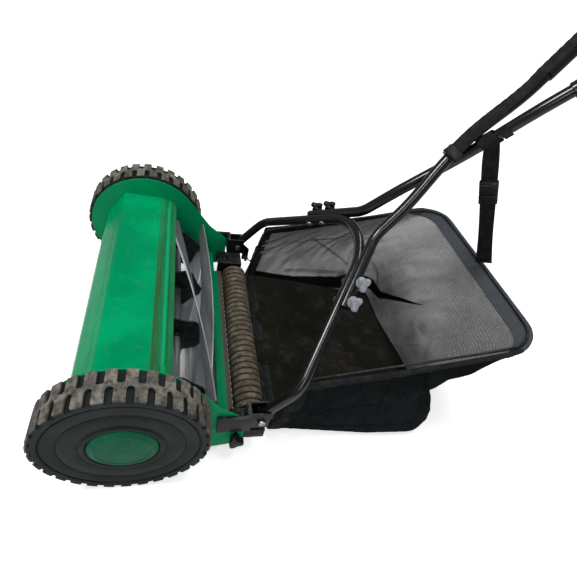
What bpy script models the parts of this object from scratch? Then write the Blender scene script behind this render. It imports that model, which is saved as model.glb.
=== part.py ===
"""Hand-pushed reel mower: two treaded wheels, a geared blade reel, a rear roller,
an arched tube handle whose two upper tubes cross, and a fabric grass bag.

Metres, +Z up. The mower drives towards -Y, its axle runs along X, and the user's left is +X.
Every size below is measured from the axle's mid-point on the ground; the last step slides the
model along Y, so that the origin lies on the ground under the middle of the whole object.
"""
import math

import bmesh
import bpy
from mathutils import Matrix, Vector

# Clearances
FIT_GAP = 0.0003
RUNNING_GAP = 0.0004
WELD = 0.000001
CUTTER_REACH = 0.02

# Wheels
WHEEL_RADIUS = 0.108
WHEEL_WIDTH = 0.044
WHEEL_OUTER_FACE = 0.263
TREAD_DEPTH = 0.0045
TREAD_BLOCKS = 30
TREAD_SHOULDER = 0.002
RIM_DEPTH = 0.014
TREAD_ROW_GROOVE = 0.003
HIGH_TREAD_PART = 0.2
LOW_TREAD_PART = 0.3
WEB_THICKNESS = 0.006
WEB_RECESS = 0.0015
HUB_WELL_RADIUS = 0.0430
HUB_WELL_DEPTH = 0.010
HUB_WALL = 0.003
BOSS_RADIUS = 0.016
AXLE_RADIUS = 0.0065
AXLE_HEAD_RADIUS = 0.011
AXLE_HEAD_HEIGHT = 0.005
AXLE_NUT_RADIUS = 0.0105
AXLE_NUT_HEIGHT = 0.006
CAP_WALL = 0.002
CAP_RISE = 0.005
CAP_STANDOUT = 0.0005

# Gear train: an internal ring in each wheel drives a pinion on the reel shaft
GEAR_RIM_WALL = 0.0082
RING_TEETH = 55
PINION_TEETH = 11
GEAR_WIDTH = 0.013
TOOTH_BACKLASH = 0.0006
PRESSURE_ANGLE = math.radians(20)
GEAR_STANDOFF = 0.006
SHAFT_STANDOUT = 0.003

# Side plates
PLATE_INNER_FACE = 0.2146
PLATE_THICKNESS = 0.002
DISC_INSET = 0.006
EAR_KINK_BEHIND_REEL = 0.063
EAR_KINK_RISE = 0.007
EAR_BEHIND_REEL = 0.101
EAR_TOP = 0.085
EAR_BOTTOM = 0.024
EAR_CORNER = 0.010
DISC_FOOT_BEHIND_REEL = 0.058
DISC_FOOT_Z = 0.012
SLOT_HALF_WIDTH = 0.0034

# Reel
REEL_RADIUS = 0.063
REEL_ANGLE_BELOW_AXLE = math.radians(20)
BLADE_COUNT = 5
BLADE_WIDTH_ANGLE = math.radians(-22)
BLADE_INNER_RADIUS = 0.043
BLADE_THICKNESS = 0.0022
BLADE_HALF_LENGTH = 0.203
BLADE_TWIST = math.radians(-84)
SHAFT_RADIUS = 0.006
SPIDER_THICKNESS = 0.003
SPIDER_STATIONS = (-0.172, -0.057, 0.057, 0.172)
SPIDER_WAIST_RADIUS = 0.033
BEARING_RADIUS = 0.013
BEARING_LENGTH = 0.011
BEARING_FLANGE_RADIUS = 0.016
BEARING_STANDOUT = 0.004

# Reel cover, a folded sheet between the plates; its outer bends as (y, height above the axle)
COVER_THICKNESS = 0.0016
COVER_BENDS = ((-0.082, -0.020), (-0.070, 0.025), (-0.038, 0.070), (0.033, 0.0655), (0.056, 0.055))

# Bed bar and bed knife
BAR_BEHIND_REEL = 0.0665
BAR_BELOW_REEL = 0.0584
BAR_THICKNESS = 0.008
BAR_HEIGHT = 0.021
BAR_BULGE = 0.0015
SHELF_TO_ROLLER = 0.001
SHELF_HALF_LENGTH = 0.172
SHELF_THICKNESS = 0.003
KNIFE_THICKNESS = 0.003
KNIFE_EDGE_CLEARANCE = 0.0006
KNIFE_SEAT = 0.006
KNIFE_BEVEL = 0.004

# Roller and its height adjustment
ROLLER_RADIUS = 0.0255
ROLLER_HALF_LENGTH = 0.170
ROLLER_BEHIND_REEL = 0.118
ROLLER_AXLE_RADIUS = 0.004
ROLLER_BORE = 0.0046
ROLLER_SIDE_GAP = 0.0055
ROLLER_AXLE_STANDOUT = 0.004
BRACKET_PLATE = 0.003
BRACKET_LUG = 0.010
ROLLER_BRACKET_TOP = 0.050
HANGER_FRONT_BEHIND_REEL = 0.083
HANGER_REAR_BEHIND_REEL = 0.134
HEIGHT_BOLT_BEHIND_REEL = 0.089
HEIGHT_BOLT_Z = 0.040
HEIGHT_DOWN = 0.012
HEIGHT_UP = 0.008
HEIGHT_BOLT_RADIUS = 0.003
HEIGHT_KNOB_RADIUS = 0.013
HEIGHT_KNOB_LENGTH = 0.014
HEIGHT_KNOB_COLLAR = 0.007

# Handle: everything lies near one sloping plane through the pivots
PIVOT_BEHIND_REEL = 0.123
PIVOT_Z = 0.080
HANDLE_SLOPE = math.radians(52.3)
TUBE_RADIUS = 0.0085
TUBE_WALL = 0.0011
TUBE_SIDES = 10
FOOT_X = 0.206
FOOT_BEYOND_PIVOT = 0.011
LEG_LEAN = math.radians(44)
ARCH_TOP = 0.2465
ARCH_CROWN_RADIUS = 0.100
ARCH_FOOT_BEND = 0.050
NEST_OFFSET = 0.0105
NEST_LENGTH = 0.058
NEST_BOLT_STEPS = (0.0165, 0.0485)
UPPER_BEND_RADIUS = 0.050
UPPER_BEND_AHEAD = 0.060
CROSSING = 0.440
CROSSING_SHIFT = -0.006
CROSSING_SPAN = 0.125
LEAN_BELOW_CROSSING = 0.20
LEAN_ABOVE_CROSSING = 0.21
UPPER_TUBE_END = 0.640
SOCKET_START = 0.582
LOOP_TUBE_WALL = 0.0012
LOOP_BEND = 0.700
LOOP_LEAN = 0.28
LOOP_TOP = 1.140
LOOP_CORNER_RADIUS = 0.048
LOOP_BEND_RADIUS = 0.12
GRIP_RADIUS = 0.0155
GRIP_START = 0.012
GRIP_LENGTH = 0.100
GRIP_EASE = 0.004
GLIDE_START = 0.420
GLIDE_LENGTH = 0.012
GLIDE_WIDTH = 0.024
GLIDE_HEIGHT = 0.0155
BAND_WIDTH = 0.020
BAND_THICKNESS = 0.0016
BAND_WRAP = 0.014
BAND_RAMP = 0.022
BAND_RAMP_REST = 0.005
RIVET_STANDOUT = 0.0005
BAND_END = 0.664
BAND_TURN = math.radians(50)
BAND_TURN_END = 0.560

# Pivot brackets at the feet of the arch
BRACKET_FRONT_BEHIND_REEL = 0.058
BRACKET_CHEEK = 0.003
BRACKET_WEB_BEHIND_REEL = 0.107
BRACKET_REAR_BEHIND_REEL = 0.135
BRACKET_BOTTOM = 0.064
BRACKET_TOP = 0.098
BRACKET_PAD = 0.006
PIVOT_BOLT_RADIUS = 0.003
BOLT_HEAD_RADIUS = 0.0055
BOLT_HEAD_HEIGHT = 0.004

# Wing knobs and bolts of the handle joint
JOINT_BOLT_RADIUS = 0.003
KNOB_RADIUS = 0.013
KNOB_LOBES = 3
KNOB_LENGTH = 0.014
KNOB_COLLAR = 0.006
KNOB_LOBE_DEPTH = 0.22
KNOB_COLLAR_PART = 0.3
KNOB_FACE_PART = 0.94

# Bag
PEG_BEHIND_REEL = 0.1425
PEG_Z = 0.055
PEG_RADIUS = 0.003
PEG_LENGTH = 0.012
PEG_ARM_REAR_HEIGHT = 0.012
PEG_ARM_ROOT = 0.010
PEG_ARM_ROOT_REAR = 0.004
PEG_ARM_TOP_DROP = 0.006
PEG_ARM_INSET = 0.0003
CLOTH_THICKNESS = 0.0016
WIRE_RADIUS = 0.0025
HOOK_WIRE_RADIUS = 0.0018
WIRE_SIDES = 6
SLOPING_WALL_ALLOWANCE = 1.7
BAG_BOTTOM = 0.008
FLOOR_FRONT_BEHIND_PEG = 0.005
FLOOR_REAR_BEHIND_PEG = 0.3075
BAG_FLOOR_HALF_FRONT = 0.190
BAG_FLOOR_HALF_REAR = 0.199
RIM_FRONT_BEHIND_PEG = 0.0325
BAG_RIM_FRONT_Z = 0.135
RIM_REAR_BEHIND_PEG = 0.4075
BAG_RIM_REAR_Z = 0.2245
BAG_RIM_HALF_FRONT = 0.194
BAG_RIM_HALF_REAR = 0.199
BAG_CORNER_RADIUS = 0.055
BAG_BELLY = 0.005
BAG_REAR_FLARE = 2.4
BAG_LEVELS = 4
BAG_WIRE_CORNER = 0.012
HOOK_ROOT_RISE = 0.004
HOOK_RUN = 0.012
HOOK_DROP = 0.006

# Bag strap
STRAP_WIDTH = 0.024
STRAP_THICKNESS = 0.0016
STRAP_STATION = 0.480
STRAP_WRAP_LENGTH = 0.020
STRAP_TUBE_GAP = 0.0005
BUCKLE_WIDTH = 0.028
BUCKLE_THICKNESS = 0.009
SOCKET_LENGTH = 0.026
PLUG_LENGTH = 0.018
TONGUE_LENGTH = 0.012
BUCKLE_START = 0.062
STRAP_END_GAP = 0.004
STRAP_RIM_INSET = 0.004
STRAP_RIM_RISE = 0.002
BUCKLE_MOUTH_WALL = 0.0025
BUCKLE_MOUTH_SKIN = 0.002
TONGUE_SIDE_GAP = 0.001
TONGUE_FACE_GAP = 0.00075

GREEN = ("green_paint", (0.0, 0.30, 0.115), 0.35, 0.0)
BLACK_PAINT = ("black_paint", (0.012, 0.012, 0.014), 0.25, 0.0)
BLACK_PLASTIC = ("black_plastic", (0.02, 0.02, 0.021), 0.5, 0.0)
GREEN_PLASTIC = ("green_plastic", (0.0, 0.27, 0.10), 0.4, 0.0)
STEEL = ("bright_steel", (0.45, 0.45, 0.46), 0.35, 1.0)
BLADE_STEEL = ("blade_steel", (0.16, 0.16, 0.17), 0.42, 1.0)
ROLLER_WOOD = ("roller_wood", (0.12, 0.085, 0.055), 0.8, 0.0)
FOAM = ("grip_foam", (0.02, 0.02, 0.02), 0.9, 0.0)
CLOTH = ("bag_cloth", (0.10, 0.10, 0.11), 0.9, 0.0)
WEBBING = ("black_webbing", (0.012, 0.012, 0.013), 0.85, 0.0)
KNOB_SILVER = ("knob_plastic", (0.18, 0.18, 0.19), 0.35, 0.0)

AXLE_Z = WHEEL_RADIUS
RIM_INNER_RADIUS = WHEEL_RADIUS - RIM_DEPTH
DISC_RADIUS = WHEEL_RADIUS - DISC_INSET
GEAR_MODULE = (RIM_INNER_RADIUS - FIT_GAP - GEAR_RIM_WALL) / (RING_TEETH / 2 + 1)
RIM_START = -math.pi / 2 - LOW_TREAD_PART * 2 * math.pi / TREAD_BLOCKS
GEAR_CENTRES = GEAR_MODULE * (RING_TEETH - PINION_TEETH) / 2
REEL_Y = GEAR_CENTRES * math.cos(REEL_ANGLE_BELOW_AXLE)
REEL_Z = AXLE_Z - GEAR_CENTRES * math.sin(REEL_ANGLE_BELOW_AXLE)
EAR_KINK_Y = REEL_Y + EAR_KINK_BEHIND_REEL
EAR_KINK_Z = AXLE_Z + EAR_KINK_RISE
EAR_REAR = REEL_Y + EAR_BEHIND_REEL
DISC_FOOT_Y = REEL_Y + DISC_FOOT_BEHIND_REEL
BAR_FRONT = REEL_Y + BAR_BEHIND_REEL
BAR_BOTTOM = REEL_Z - BAR_BELOW_REEL
BAR_TOP = BAR_BOTTOM + BAR_HEIGHT
KNIFE_REAR = BAR_FRONT + KNIFE_SEAT
ROLLER_Y = REEL_Y + ROLLER_BEHIND_REEL
ROLLER_BRACKET_FRONT = REEL_Y + HANGER_FRONT_BEHIND_REEL
ROLLER_BRACKET_REAR = REEL_Y + HANGER_REAR_BEHIND_REEL
HEIGHT_BOLT_Y = REEL_Y + HEIGHT_BOLT_BEHIND_REEL
PIVOT_Y = REEL_Y + PIVOT_BEHIND_REEL
BRACKET_FRONT = REEL_Y + BRACKET_FRONT_BEHIND_REEL
BRACKET_WEB_REAR = REEL_Y + BRACKET_WEB_BEHIND_REEL
BRACKET_REAR = REEL_Y + BRACKET_REAR_BEHIND_REEL
PEG_Y = REEL_Y + PEG_BEHIND_REEL
BAG_FLOOR_FRONT = PEG_Y + FLOOR_FRONT_BEHIND_PEG
BAG_FLOOR_REAR = PEG_Y + FLOOR_REAR_BEHIND_PEG
BAG_RIM_FRONT_Y = PEG_Y + RIM_FRONT_BEHIND_PEG
BAG_RIM_REAR_Y = PEG_Y + RIM_REAR_BEHIND_PEG
WHEEL_INNER_EDGE = WHEEL_OUTER_FACE - WHEEL_WIDTH
PLATE_OUTER_FACE = PLATE_INNER_FACE + PLATE_THICKNESS
SLEEVE_BORE = (TUBE_RADIUS + FIT_GAP) / math.cos(math.pi / TUBE_SIDES)
LOOP_TUBE_RADIUS = SLEEVE_BORE + LOOP_TUBE_WALL
CHEEK_INNER = FOOT_X - TUBE_RADIUS - FIT_GAP
CHEEK_OUTER = FOOT_X + TUBE_RADIUS + FIT_GAP


def clear_scene():
    for item in list(bpy.data.objects):
        bpy.data.objects.remove(item, do_unlink=True)


def material(spec):
    name, colour, roughness, metallic = spec
    found = bpy.data.materials.get(name)
    if found:
        return found
    made = bpy.data.materials.new(name)
    made.use_nodes = True
    shader = made.node_tree.nodes["Principled BSDF"]
    shader.inputs["Base Color"].default_value = (*colour, 1.0)
    shader.inputs["Roughness"].default_value = roughness
    shader.inputs["Metallic"].default_value = metallic
    return made


def add_object(bm, name, spec, origin=(0.0, 0.0, 0.0)):
    """Close the mesh, turn its faces outwards and add it with its origin where asked."""
    bmesh.ops.remove_doubles(bm, verts=bm.verts, dist=WELD)
    bmesh.ops.recalc_face_normals(bm, faces=bm.faces)
    mesh = bpy.data.meshes.new(name)
    bm.to_mesh(mesh)
    bm.free()
    mesh.transform(Matrix.Translation(-Vector(origin)))
    mesh.shade_smooth()
    mesh.set_sharp_from_angle(angle=math.radians(35))
    made = bpy.data.objects.new(name, mesh)
    made.location = origin
    made.data.materials.append(material(spec))
    bpy.context.scene.collection.objects.link(made)
    return made


def as_cutter(item):
    item.hide_render = True
    item.display_type = "WIRE"
    return item


def add_cutter(bm, name):
    return as_cutter(add_object(bm, name, STEEL))


def combine(target, tool, operation):
    modifier = target.modifiers.new(operation.title(), "BOOLEAN")
    modifier.operation = operation
    modifier.solver = "EXACT"
    modifier.object = tool
    return modifier


def ring(bm, centre, side, up, radius, count, start=0.0):
    verts = []
    for i in range(count):
        a = start + 2 * math.pi * i / count
        verts.append(bm.verts.new(centre + radius * (math.cos(a) * side + math.sin(a) * up)))
    return verts


def join_rings(bm, first, second):
    """Skin two closed rings of vertices; one count is a whole multiple of the other."""
    few, many = sorted((first, second), key=len)
    share = len(many) // len(few)
    for i, vert in enumerate(few):
        span = [many[(share * i + k) % len(many)] for k in range(share + 1)]
        bm.faces.new([vert] + span + [few[(i + 1) % len(few)]])


def turned(profile, segments, closed=True, start=0.0, y=0.0, z=0.0):
    """A solid turned about the X direction through (y, z); the profile is (x, radius) points."""
    bm = bmesh.new()
    side = Vector((0.0, 1.0, 0.0))
    up = Vector((0.0, 0.0, 1.0))
    rings = []
    for x, radius in profile:
        centre = Vector((x, y, z))
        if radius <= 0.0:
            rings.append([bm.verts.new(centre)] * segments)
        else:
            rings.append(ring(bm, centre, side, up, radius, segments, start))
    pairs = list(zip(rings, rings[1:]))
    if closed:
        pairs.append((rings[-1], rings[0]))
    for first, second in pairs:
        for i in range(segments):
            j = (i + 1) % segments
            corners = []
            for vert in (first[i], first[j], second[j], second[i]):
                if vert not in corners:
                    corners.append(vert)
            if len(corners) > 2:
                bm.faces.new(corners)
    if not closed:
        for end in (rings[0], rings[-1]):
            if len(set(end)) > 2:
                bm.faces.new(end)
    return bm


def aim(bm, origin, direction):
    """Turn a mesh made along +X so that it points along direction from origin."""
    turn = Vector((1.0, 0.0, 0.0)).rotation_difference(Vector(direction)).to_matrix().to_4x4()
    bm.transform(Matrix.Translation(Vector(origin)) @ turn)
    return bm


def prism(outline, low, high, axis="X"):
    """Extrude a flat outline along an axis. X takes (y, z) points, Y takes (x, z), Z takes (x, y)."""
    bm = bmesh.new()
    place = {
        "X": lambda a, b: Vector((low, a, b)),
        "Y": lambda a, b: Vector((a, low, b)),
        "Z": lambda a, b: Vector((a, b, low)),
    }[axis]
    shift = {"X": Vector((1, 0, 0)), "Y": Vector((0, 1, 0)), "Z": Vector((0, 0, 1))}[axis]
    face = bm.faces.new([bm.verts.new(place(a, b)) for a, b in outline])
    grown = bmesh.ops.extrude_face_region(bm, geom=[face])
    moved = [item for item in grown["geom"] if isinstance(item, bmesh.types.BMVert)]
    bmesh.ops.translate(bm, verts=moved, vec=shift * (high - low))
    return bm


def mirrored(outline_x, side):
    return [(side * x, other) for x, other in outline_x]


def arc(cy, cz, radius, start, end, steps):
    points = []
    for i in range(steps + 1):
        a = start + (end - start) * i / steps
        points.append((cy + radius * math.cos(a), cz + radius * math.sin(a)))
    return points


def rounded_path(corners, radii, steps=5):
    """A line through the corners, each inner corner eased by an arc of its own radius."""
    path = [Vector(corners[0])]
    for before, corner, after, radius in zip(corners, corners[1:], corners[2:], radii):
        corner = Vector(corner)
        back = (Vector(before) - corner).normalized()
        ahead = (Vector(after) - corner).normalized()
        half = back.angle(ahead) / 2
        reach = radius / math.tan(half)
        middle = corner + (back + ahead).normalized() * (radius / math.sin(half))
        start = corner + back * reach - middle
        end = corner + ahead * reach - middle
        sweep = start.angle(end)
        for i in range(steps + 1):
            part = i / steps
            a = math.sin((1 - part) * sweep) / math.sin(sweep)
            b = math.sin(part * sweep) / math.sin(sweep)
            path.append(middle + start * a + end * b)
    path.append(Vector(corners[-1]))
    return path


def sweep(path, radius, sides, bore=0.0, cyclic=False):
    """A round rod along a path, or a tube if it has a bore."""
    bm = bmesh.new()
    count = len(path)
    tangents = []
    for i in range(count):
        before = path[i - 1] if (i or cyclic) else path[0]
        after = path[(i + 1) % count] if (i < count - 1 or cyclic) else path[-1]
        tangents.append((after - before).normalized())
    side = tangents[0].orthogonal().normalized()
    outer, inner = [], []
    for point, tangent in zip(path, tangents):
        side = (side - tangent * side.dot(tangent)).normalized()
        up = tangent.cross(side)
        outer.append(ring(bm, point, side, up, radius, sides))
        if bore:
            inner.append(ring(bm, point, side, up, bore, sides))
    if cyclic:
        close_loop(bm, outer)
        return bm
    for shell in (outer, inner):
        for first, second in zip(shell, shell[1:]):
            join_rings(bm, first, second)
    if bore:
        join_rings(bm, outer[0], inner[0])
        join_rings(bm, outer[-1], inner[-1])
    else:
        bm.faces.new(outer[0])
        bm.faces.new(outer[-1])
    return bm


def close_loop(bm, rings):
    """Join rings all the way round, matching each closing vertex to its nearest start."""
    for first, second in zip(rings, rings[1:]):
        join_rings(bm, first, second)
    last, first = rings[-1], rings[0]
    shift = min(range(len(first)), key=lambda k: (first[k].co - last[0].co).length)
    join_rings(bm, last, first[shift:] + first[:shift])


def ribbon(stations, thickness):
    """A flat strap through stations of (centre, width direction, width)."""
    bm = bmesh.new()
    rings = []
    for i, (centre, across, width) in enumerate(stations):
        before = stations[max(i - 1, 0)][0]
        after = stations[min(i + 1, len(stations) - 1)][0]
        along = (after - before).normalized()
        across = (across - along * across.dot(along)).normalized()
        face = along.cross(across)
        corners = []
        for w, t in ((-1, -1), (1, -1), (1, 1), (-1, 1)):
            corners.append(bm.verts.new(centre + across * (w * width / 2) + face * (t * thickness / 2)))
        rings.append(corners)
    for first, second in zip(rings, rings[1:]):
        join_rings(bm, first, second)
    bm.faces.new(rings[0])
    bm.faces.new(rings[-1])
    return bm


def on_handle(x, along, lift=0.0):
    """A point of the handle plane: sideways, up the slope from the pivots, and above the plane."""
    y = PIVOT_Y + along * math.cos(HANDLE_SLOPE) - lift * math.sin(HANDLE_SLOPE)
    z = PIVOT_Z + along * math.sin(HANDLE_SLOPE) + lift * math.cos(HANDLE_SLOPE)
    return Vector((x, y, z))


def bore_round(radius):
    """Corner radius of a faceted ring whose flats still clear a tube of this radius."""
    return (radius + FIT_GAP) / math.cos(math.pi / TUBE_SIDES)


def side_name(side, rest):
    return ("left_" if side > 0 else "right_") + rest


def tread_ring(bm, x, phase, side):
    """One ring of tread: two high and two low points for each half pitch, shared by both rows."""
    pitch = 2 * math.pi / TREAD_BLOCKS
    verts = []
    for i in range(TREAD_BLOCKS):
        for part, high in ((-LOW_TREAD_PART, False), (-HIGH_TREAD_PART, True),
                           (HIGH_TREAD_PART, True), (LOW_TREAD_PART, False)):
            a = -math.pi / 2 + (i + part) * pitch
            if phase == "first":
                lifted = high
            elif phase == "second":
                lifted = not high
            else:
                lifted = False
            flat = WHEEL_RADIUS / math.cos(HIGH_TREAD_PART * pitch)
            radius = flat if lifted else WHEEL_RADIUS - TREAD_DEPTH
            verts.append(bm.verts.new((side * x, radius * math.cos(a), AXLE_Z + radius * math.sin(a))))
    return verts


def build_wheel(side):
    """The moulded wheel: treaded rim, web, hub well and boss, open towards the side plate."""
    bm = bmesh.new()
    middle = WHEEL_OUTER_FACE - WHEEL_WIDTH / 2
    web_face = WHEEL_OUTER_FACE - WEB_RECESS
    web_back = web_face - WEB_THICKNESS
    well_floor = web_face - HUB_WELL_DEPTH
    well_back = well_floor - WEB_THICKNESS
    boss_end = PLATE_OUTER_FACE + GEAR_STANDOFF
    shoulder = WHEEL_RADIUS - TREAD_DEPTH - TREAD_SHOULDER
    bore = AXLE_RADIUS + RUNNING_GAP
    rings = [
        tread_ring(bm, WHEEL_OUTER_FACE, "base", side),
        tread_ring(bm, WHEEL_OUTER_FACE, "first", side),
        tread_ring(bm, middle + TREAD_ROW_GROOVE / 2, "first", side),
        tread_ring(bm, middle - TREAD_ROW_GROOVE / 2, "second", side),
        tread_ring(bm, WHEEL_INNER_EDGE, "second", side),
        tread_ring(bm, WHEEL_INNER_EDGE, "base", side),
    ]
    profile = [
        (WHEEL_INNER_EDGE, RIM_INNER_RADIUS, 60),
        (web_back, RIM_INNER_RADIUS, 60),
        (web_back, HUB_WELL_RADIUS + HUB_WALL, 20),
        (well_back, HUB_WELL_RADIUS + HUB_WALL, 20),
        (well_back, BOSS_RADIUS, 20),
        (boss_end, BOSS_RADIUS, 20),
        (boss_end, bore, 20),
        (well_floor, bore, 20),
        (well_floor, HUB_WELL_RADIUS, 20),
        (web_face, HUB_WELL_RADIUS, 20),
        (web_face, shoulder, 60),
    ]
    for x, radius, count in profile:
        centre = Vector((side * x, 0.0, AXLE_Z))
        rings.append(ring(bm, centre, Vector((0, 1, 0)), Vector((0, 0, 1)), radius, count, RIM_START))
    for first, second in zip(rings, rings[1:] + rings[:1]):
        join_rings(bm, first, second)
    return add_object(bm, side_name(side, "wheel"), BLACK_PLASTIC, (0.0, 0.0, AXLE_Z))


def build_hub_cap(side):
    """The green cap that closes the hub well: a thin dome with a skirt."""
    face = WHEEL_OUTER_FACE - WEB_RECESS
    outer = HUB_WELL_RADIUS - FIT_GAP
    foot = face - HUB_WELL_DEPTH + FIT_GAP
    edge = face + CAP_STANDOUT
    profile = [(foot, outer), (edge, outer)]
    for i in range(1, 4):
        part = i / 4
        rise = CAP_RISE * (1 - (1 - part) ** 2)
        profile.append((edge + rise, outer * (1 - part)))
    profile.append((edge + CAP_RISE, 0.0))
    profile.append((edge + CAP_RISE - CAP_WALL, 0.0))
    profile.append((edge + CAP_RISE * 0.4 - CAP_WALL, outer * 0.6))
    profile.append((edge - CAP_WALL, outer - CAP_WALL))
    profile.append((foot, outer - CAP_WALL))
    bm = turned([(side * x, radius) for x, radius in profile], 20, z=AXLE_Z, start=RIM_START)
    return add_object(bm, side_name(side, "hub_cap"), GREEN_PLASTIC, (0.0, 0.0, AXLE_Z))


def gear_outline(teeth, points, phase):
    """Tooth points as (radius, half thickness), from root to tip, repeated round a circle."""
    outline = []
    for i in range(teeth):
        a = phase + 2 * math.pi * i / teeth
        for radius, half in points:
            outline.append((radius, a - half / radius))
        for radius, half in reversed(points):
            outline.append((radius, a + half / radius))
    return outline


def half_tooth():
    return (math.pi * GEAR_MODULE / 2 - TOOTH_BACKLASH) / 2


def build_ring_gear(side):
    """Internal gear seated inside the wheel's rim; a gap between teeth faces the pinion."""
    pitch = GEAR_MODULE * RING_TEETH / 2
    root = pitch + GEAR_MODULE
    tip = pitch - 0.7 * GEAR_MODULE
    slope = math.tan(PRESSURE_ANGLE)
    points = [(root, half_tooth() + (root - pitch) * slope), (tip, half_tooth() - (pitch - tip) * slope)]
    phase = -REEL_ANGLE_BELOW_AXLE + math.pi / RING_TEETH
    inner = [(AXLE_Z, r, a) for r, a in gear_outline(RING_TEETH, points, phase)]
    low = PLATE_OUTER_FACE + GEAR_STANDOFF
    bm = bmesh.new()
    loops = []
    for x in (low, low + GEAR_WIDTH):
        teeth = [bm.verts.new((side * x, r * math.cos(a), z + r * math.sin(a))) for z, r, a in inner]
        rim = ring(bm, Vector((side * x, 0, AXLE_Z)), Vector((0, 1, 0)), Vector((0, 0, 1)),
                   RIM_INNER_RADIUS - FIT_GAP, RING_TEETH, phase)
        loops.append((teeth, rim))
    for teeth, rim in loops:
        for i in range(RING_TEETH):
            j = (i + 1) % RING_TEETH
            tooth = teeth[4 * i:4 * i + 4]
            bm.faces.new((rim[i], tooth[3], tooth[2], tooth[1], tooth[0]))
            bm.faces.new((rim[i], tooth[3], teeth[4 * j], rim[j]))
    join_rings(bm, loops[0][0], loops[1][0])
    join_rings(bm, loops[0][1], loops[1][1])
    return add_object(bm, side_name(side, "ring_gear"), BLACK_PLASTIC, (0.0, 0.0, AXLE_Z))


def build_pinion(side):
    """Small gear on the reel shaft; one tooth points away from the axle at rest."""
    pitch = GEAR_MODULE * PINION_TEETH / 2
    base = pitch * math.cos(PRESSURE_ANGLE)
    tip = pitch + 0.8 * GEAR_MODULE
    root = pitch - GEAR_MODULE

    def involute(radius):
        turn = math.acos(base / radius)
        return math.tan(turn) - turn

    def half_at(radius):
        return radius * (half_tooth() / pitch + involute(pitch) - involute(radius))

    points = [(root, half_at(base) * root / base), (base, half_at(base)),
              (pitch, half_tooth()), (tip, half_at(tip))]
    outline = gear_outline(PINION_TEETH, points, -REEL_ANGLE_BELOW_AXLE)
    low = PLATE_OUTER_FACE + GEAR_STANDOFF + RUNNING_GAP
    high = low + GEAR_WIDTH - 2 * RUNNING_GAP
    per_tooth = 2 * len(points)
    bore = SHAFT_RADIUS + FIT_GAP
    bm = bmesh.new()
    loops = []
    for x in (low, high):
        teeth = [bm.verts.new((side * x, REEL_Y + r * math.cos(a), REEL_Z + r * math.sin(a)))
                 for r, a in outline]
        hole = ring(bm, Vector((side * x, REEL_Y, REEL_Z)), Vector((0, 1, 0)), Vector((0, 0, 1)),
                    bore, PINION_TEETH, -REEL_ANGLE_BELOW_AXLE)
        loops.append((teeth, hole))
    for teeth, hole in loops:
        for i in range(PINION_TEETH):
            j = (i + 1) % PINION_TEETH
            tooth = teeth[per_tooth * i:per_tooth * (i + 1)]
            bm.faces.new([hole[i]] + tooth)
            bm.faces.new((hole[i], tooth[-1], teeth[per_tooth * j], hole[j]))
    join_rings(bm, loops[0][0], loops[1][0])
    join_rings(bm, loops[0][1], loops[1][1])
    return add_object(bm, side_name(side, "pinion"), BLACK_PLASTIC, (0.0, REEL_Y, REEL_Z))


def build_axle_stub(side):
    """Shouldered wheel bolt, nutted through the side plate."""
    well_floor = WHEEL_OUTER_FACE - WEB_RECESS - HUB_WELL_DEPTH
    nut_start = PLATE_INNER_FACE - FIT_GAP - AXLE_NUT_HEIGHT
    collar_end = PLATE_OUTER_FACE + GEAR_STANDOFF - FIT_GAP
    head_start = well_floor + FIT_GAP
    profile = [
        (nut_start, 0.0),
        (nut_start, AXLE_NUT_RADIUS),
        (PLATE_INNER_FACE - FIT_GAP, AXLE_NUT_RADIUS),
        (PLATE_INNER_FACE - FIT_GAP, AXLE_RADIUS),
        (PLATE_OUTER_FACE + FIT_GAP, AXLE_RADIUS),
        (PLATE_OUTER_FACE + FIT_GAP, AXLE_NUT_RADIUS),
        (collar_end, AXLE_NUT_RADIUS),
        (collar_end, AXLE_RADIUS),
        (head_start, AXLE_RADIUS),
        (head_start, AXLE_HEAD_RADIUS),
        (head_start + AXLE_HEAD_HEIGHT, AXLE_HEAD_RADIUS),
        (head_start + AXLE_HEAD_HEIGHT, 0.0),
    ]
    bm = turned([(side * x, radius) for x, radius in profile], 12, closed=False, z=AXLE_Z)
    return add_object(bm, side_name(side, "axle_stub"), STEEL, (0.0, 0.0, AXLE_Z))


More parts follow.
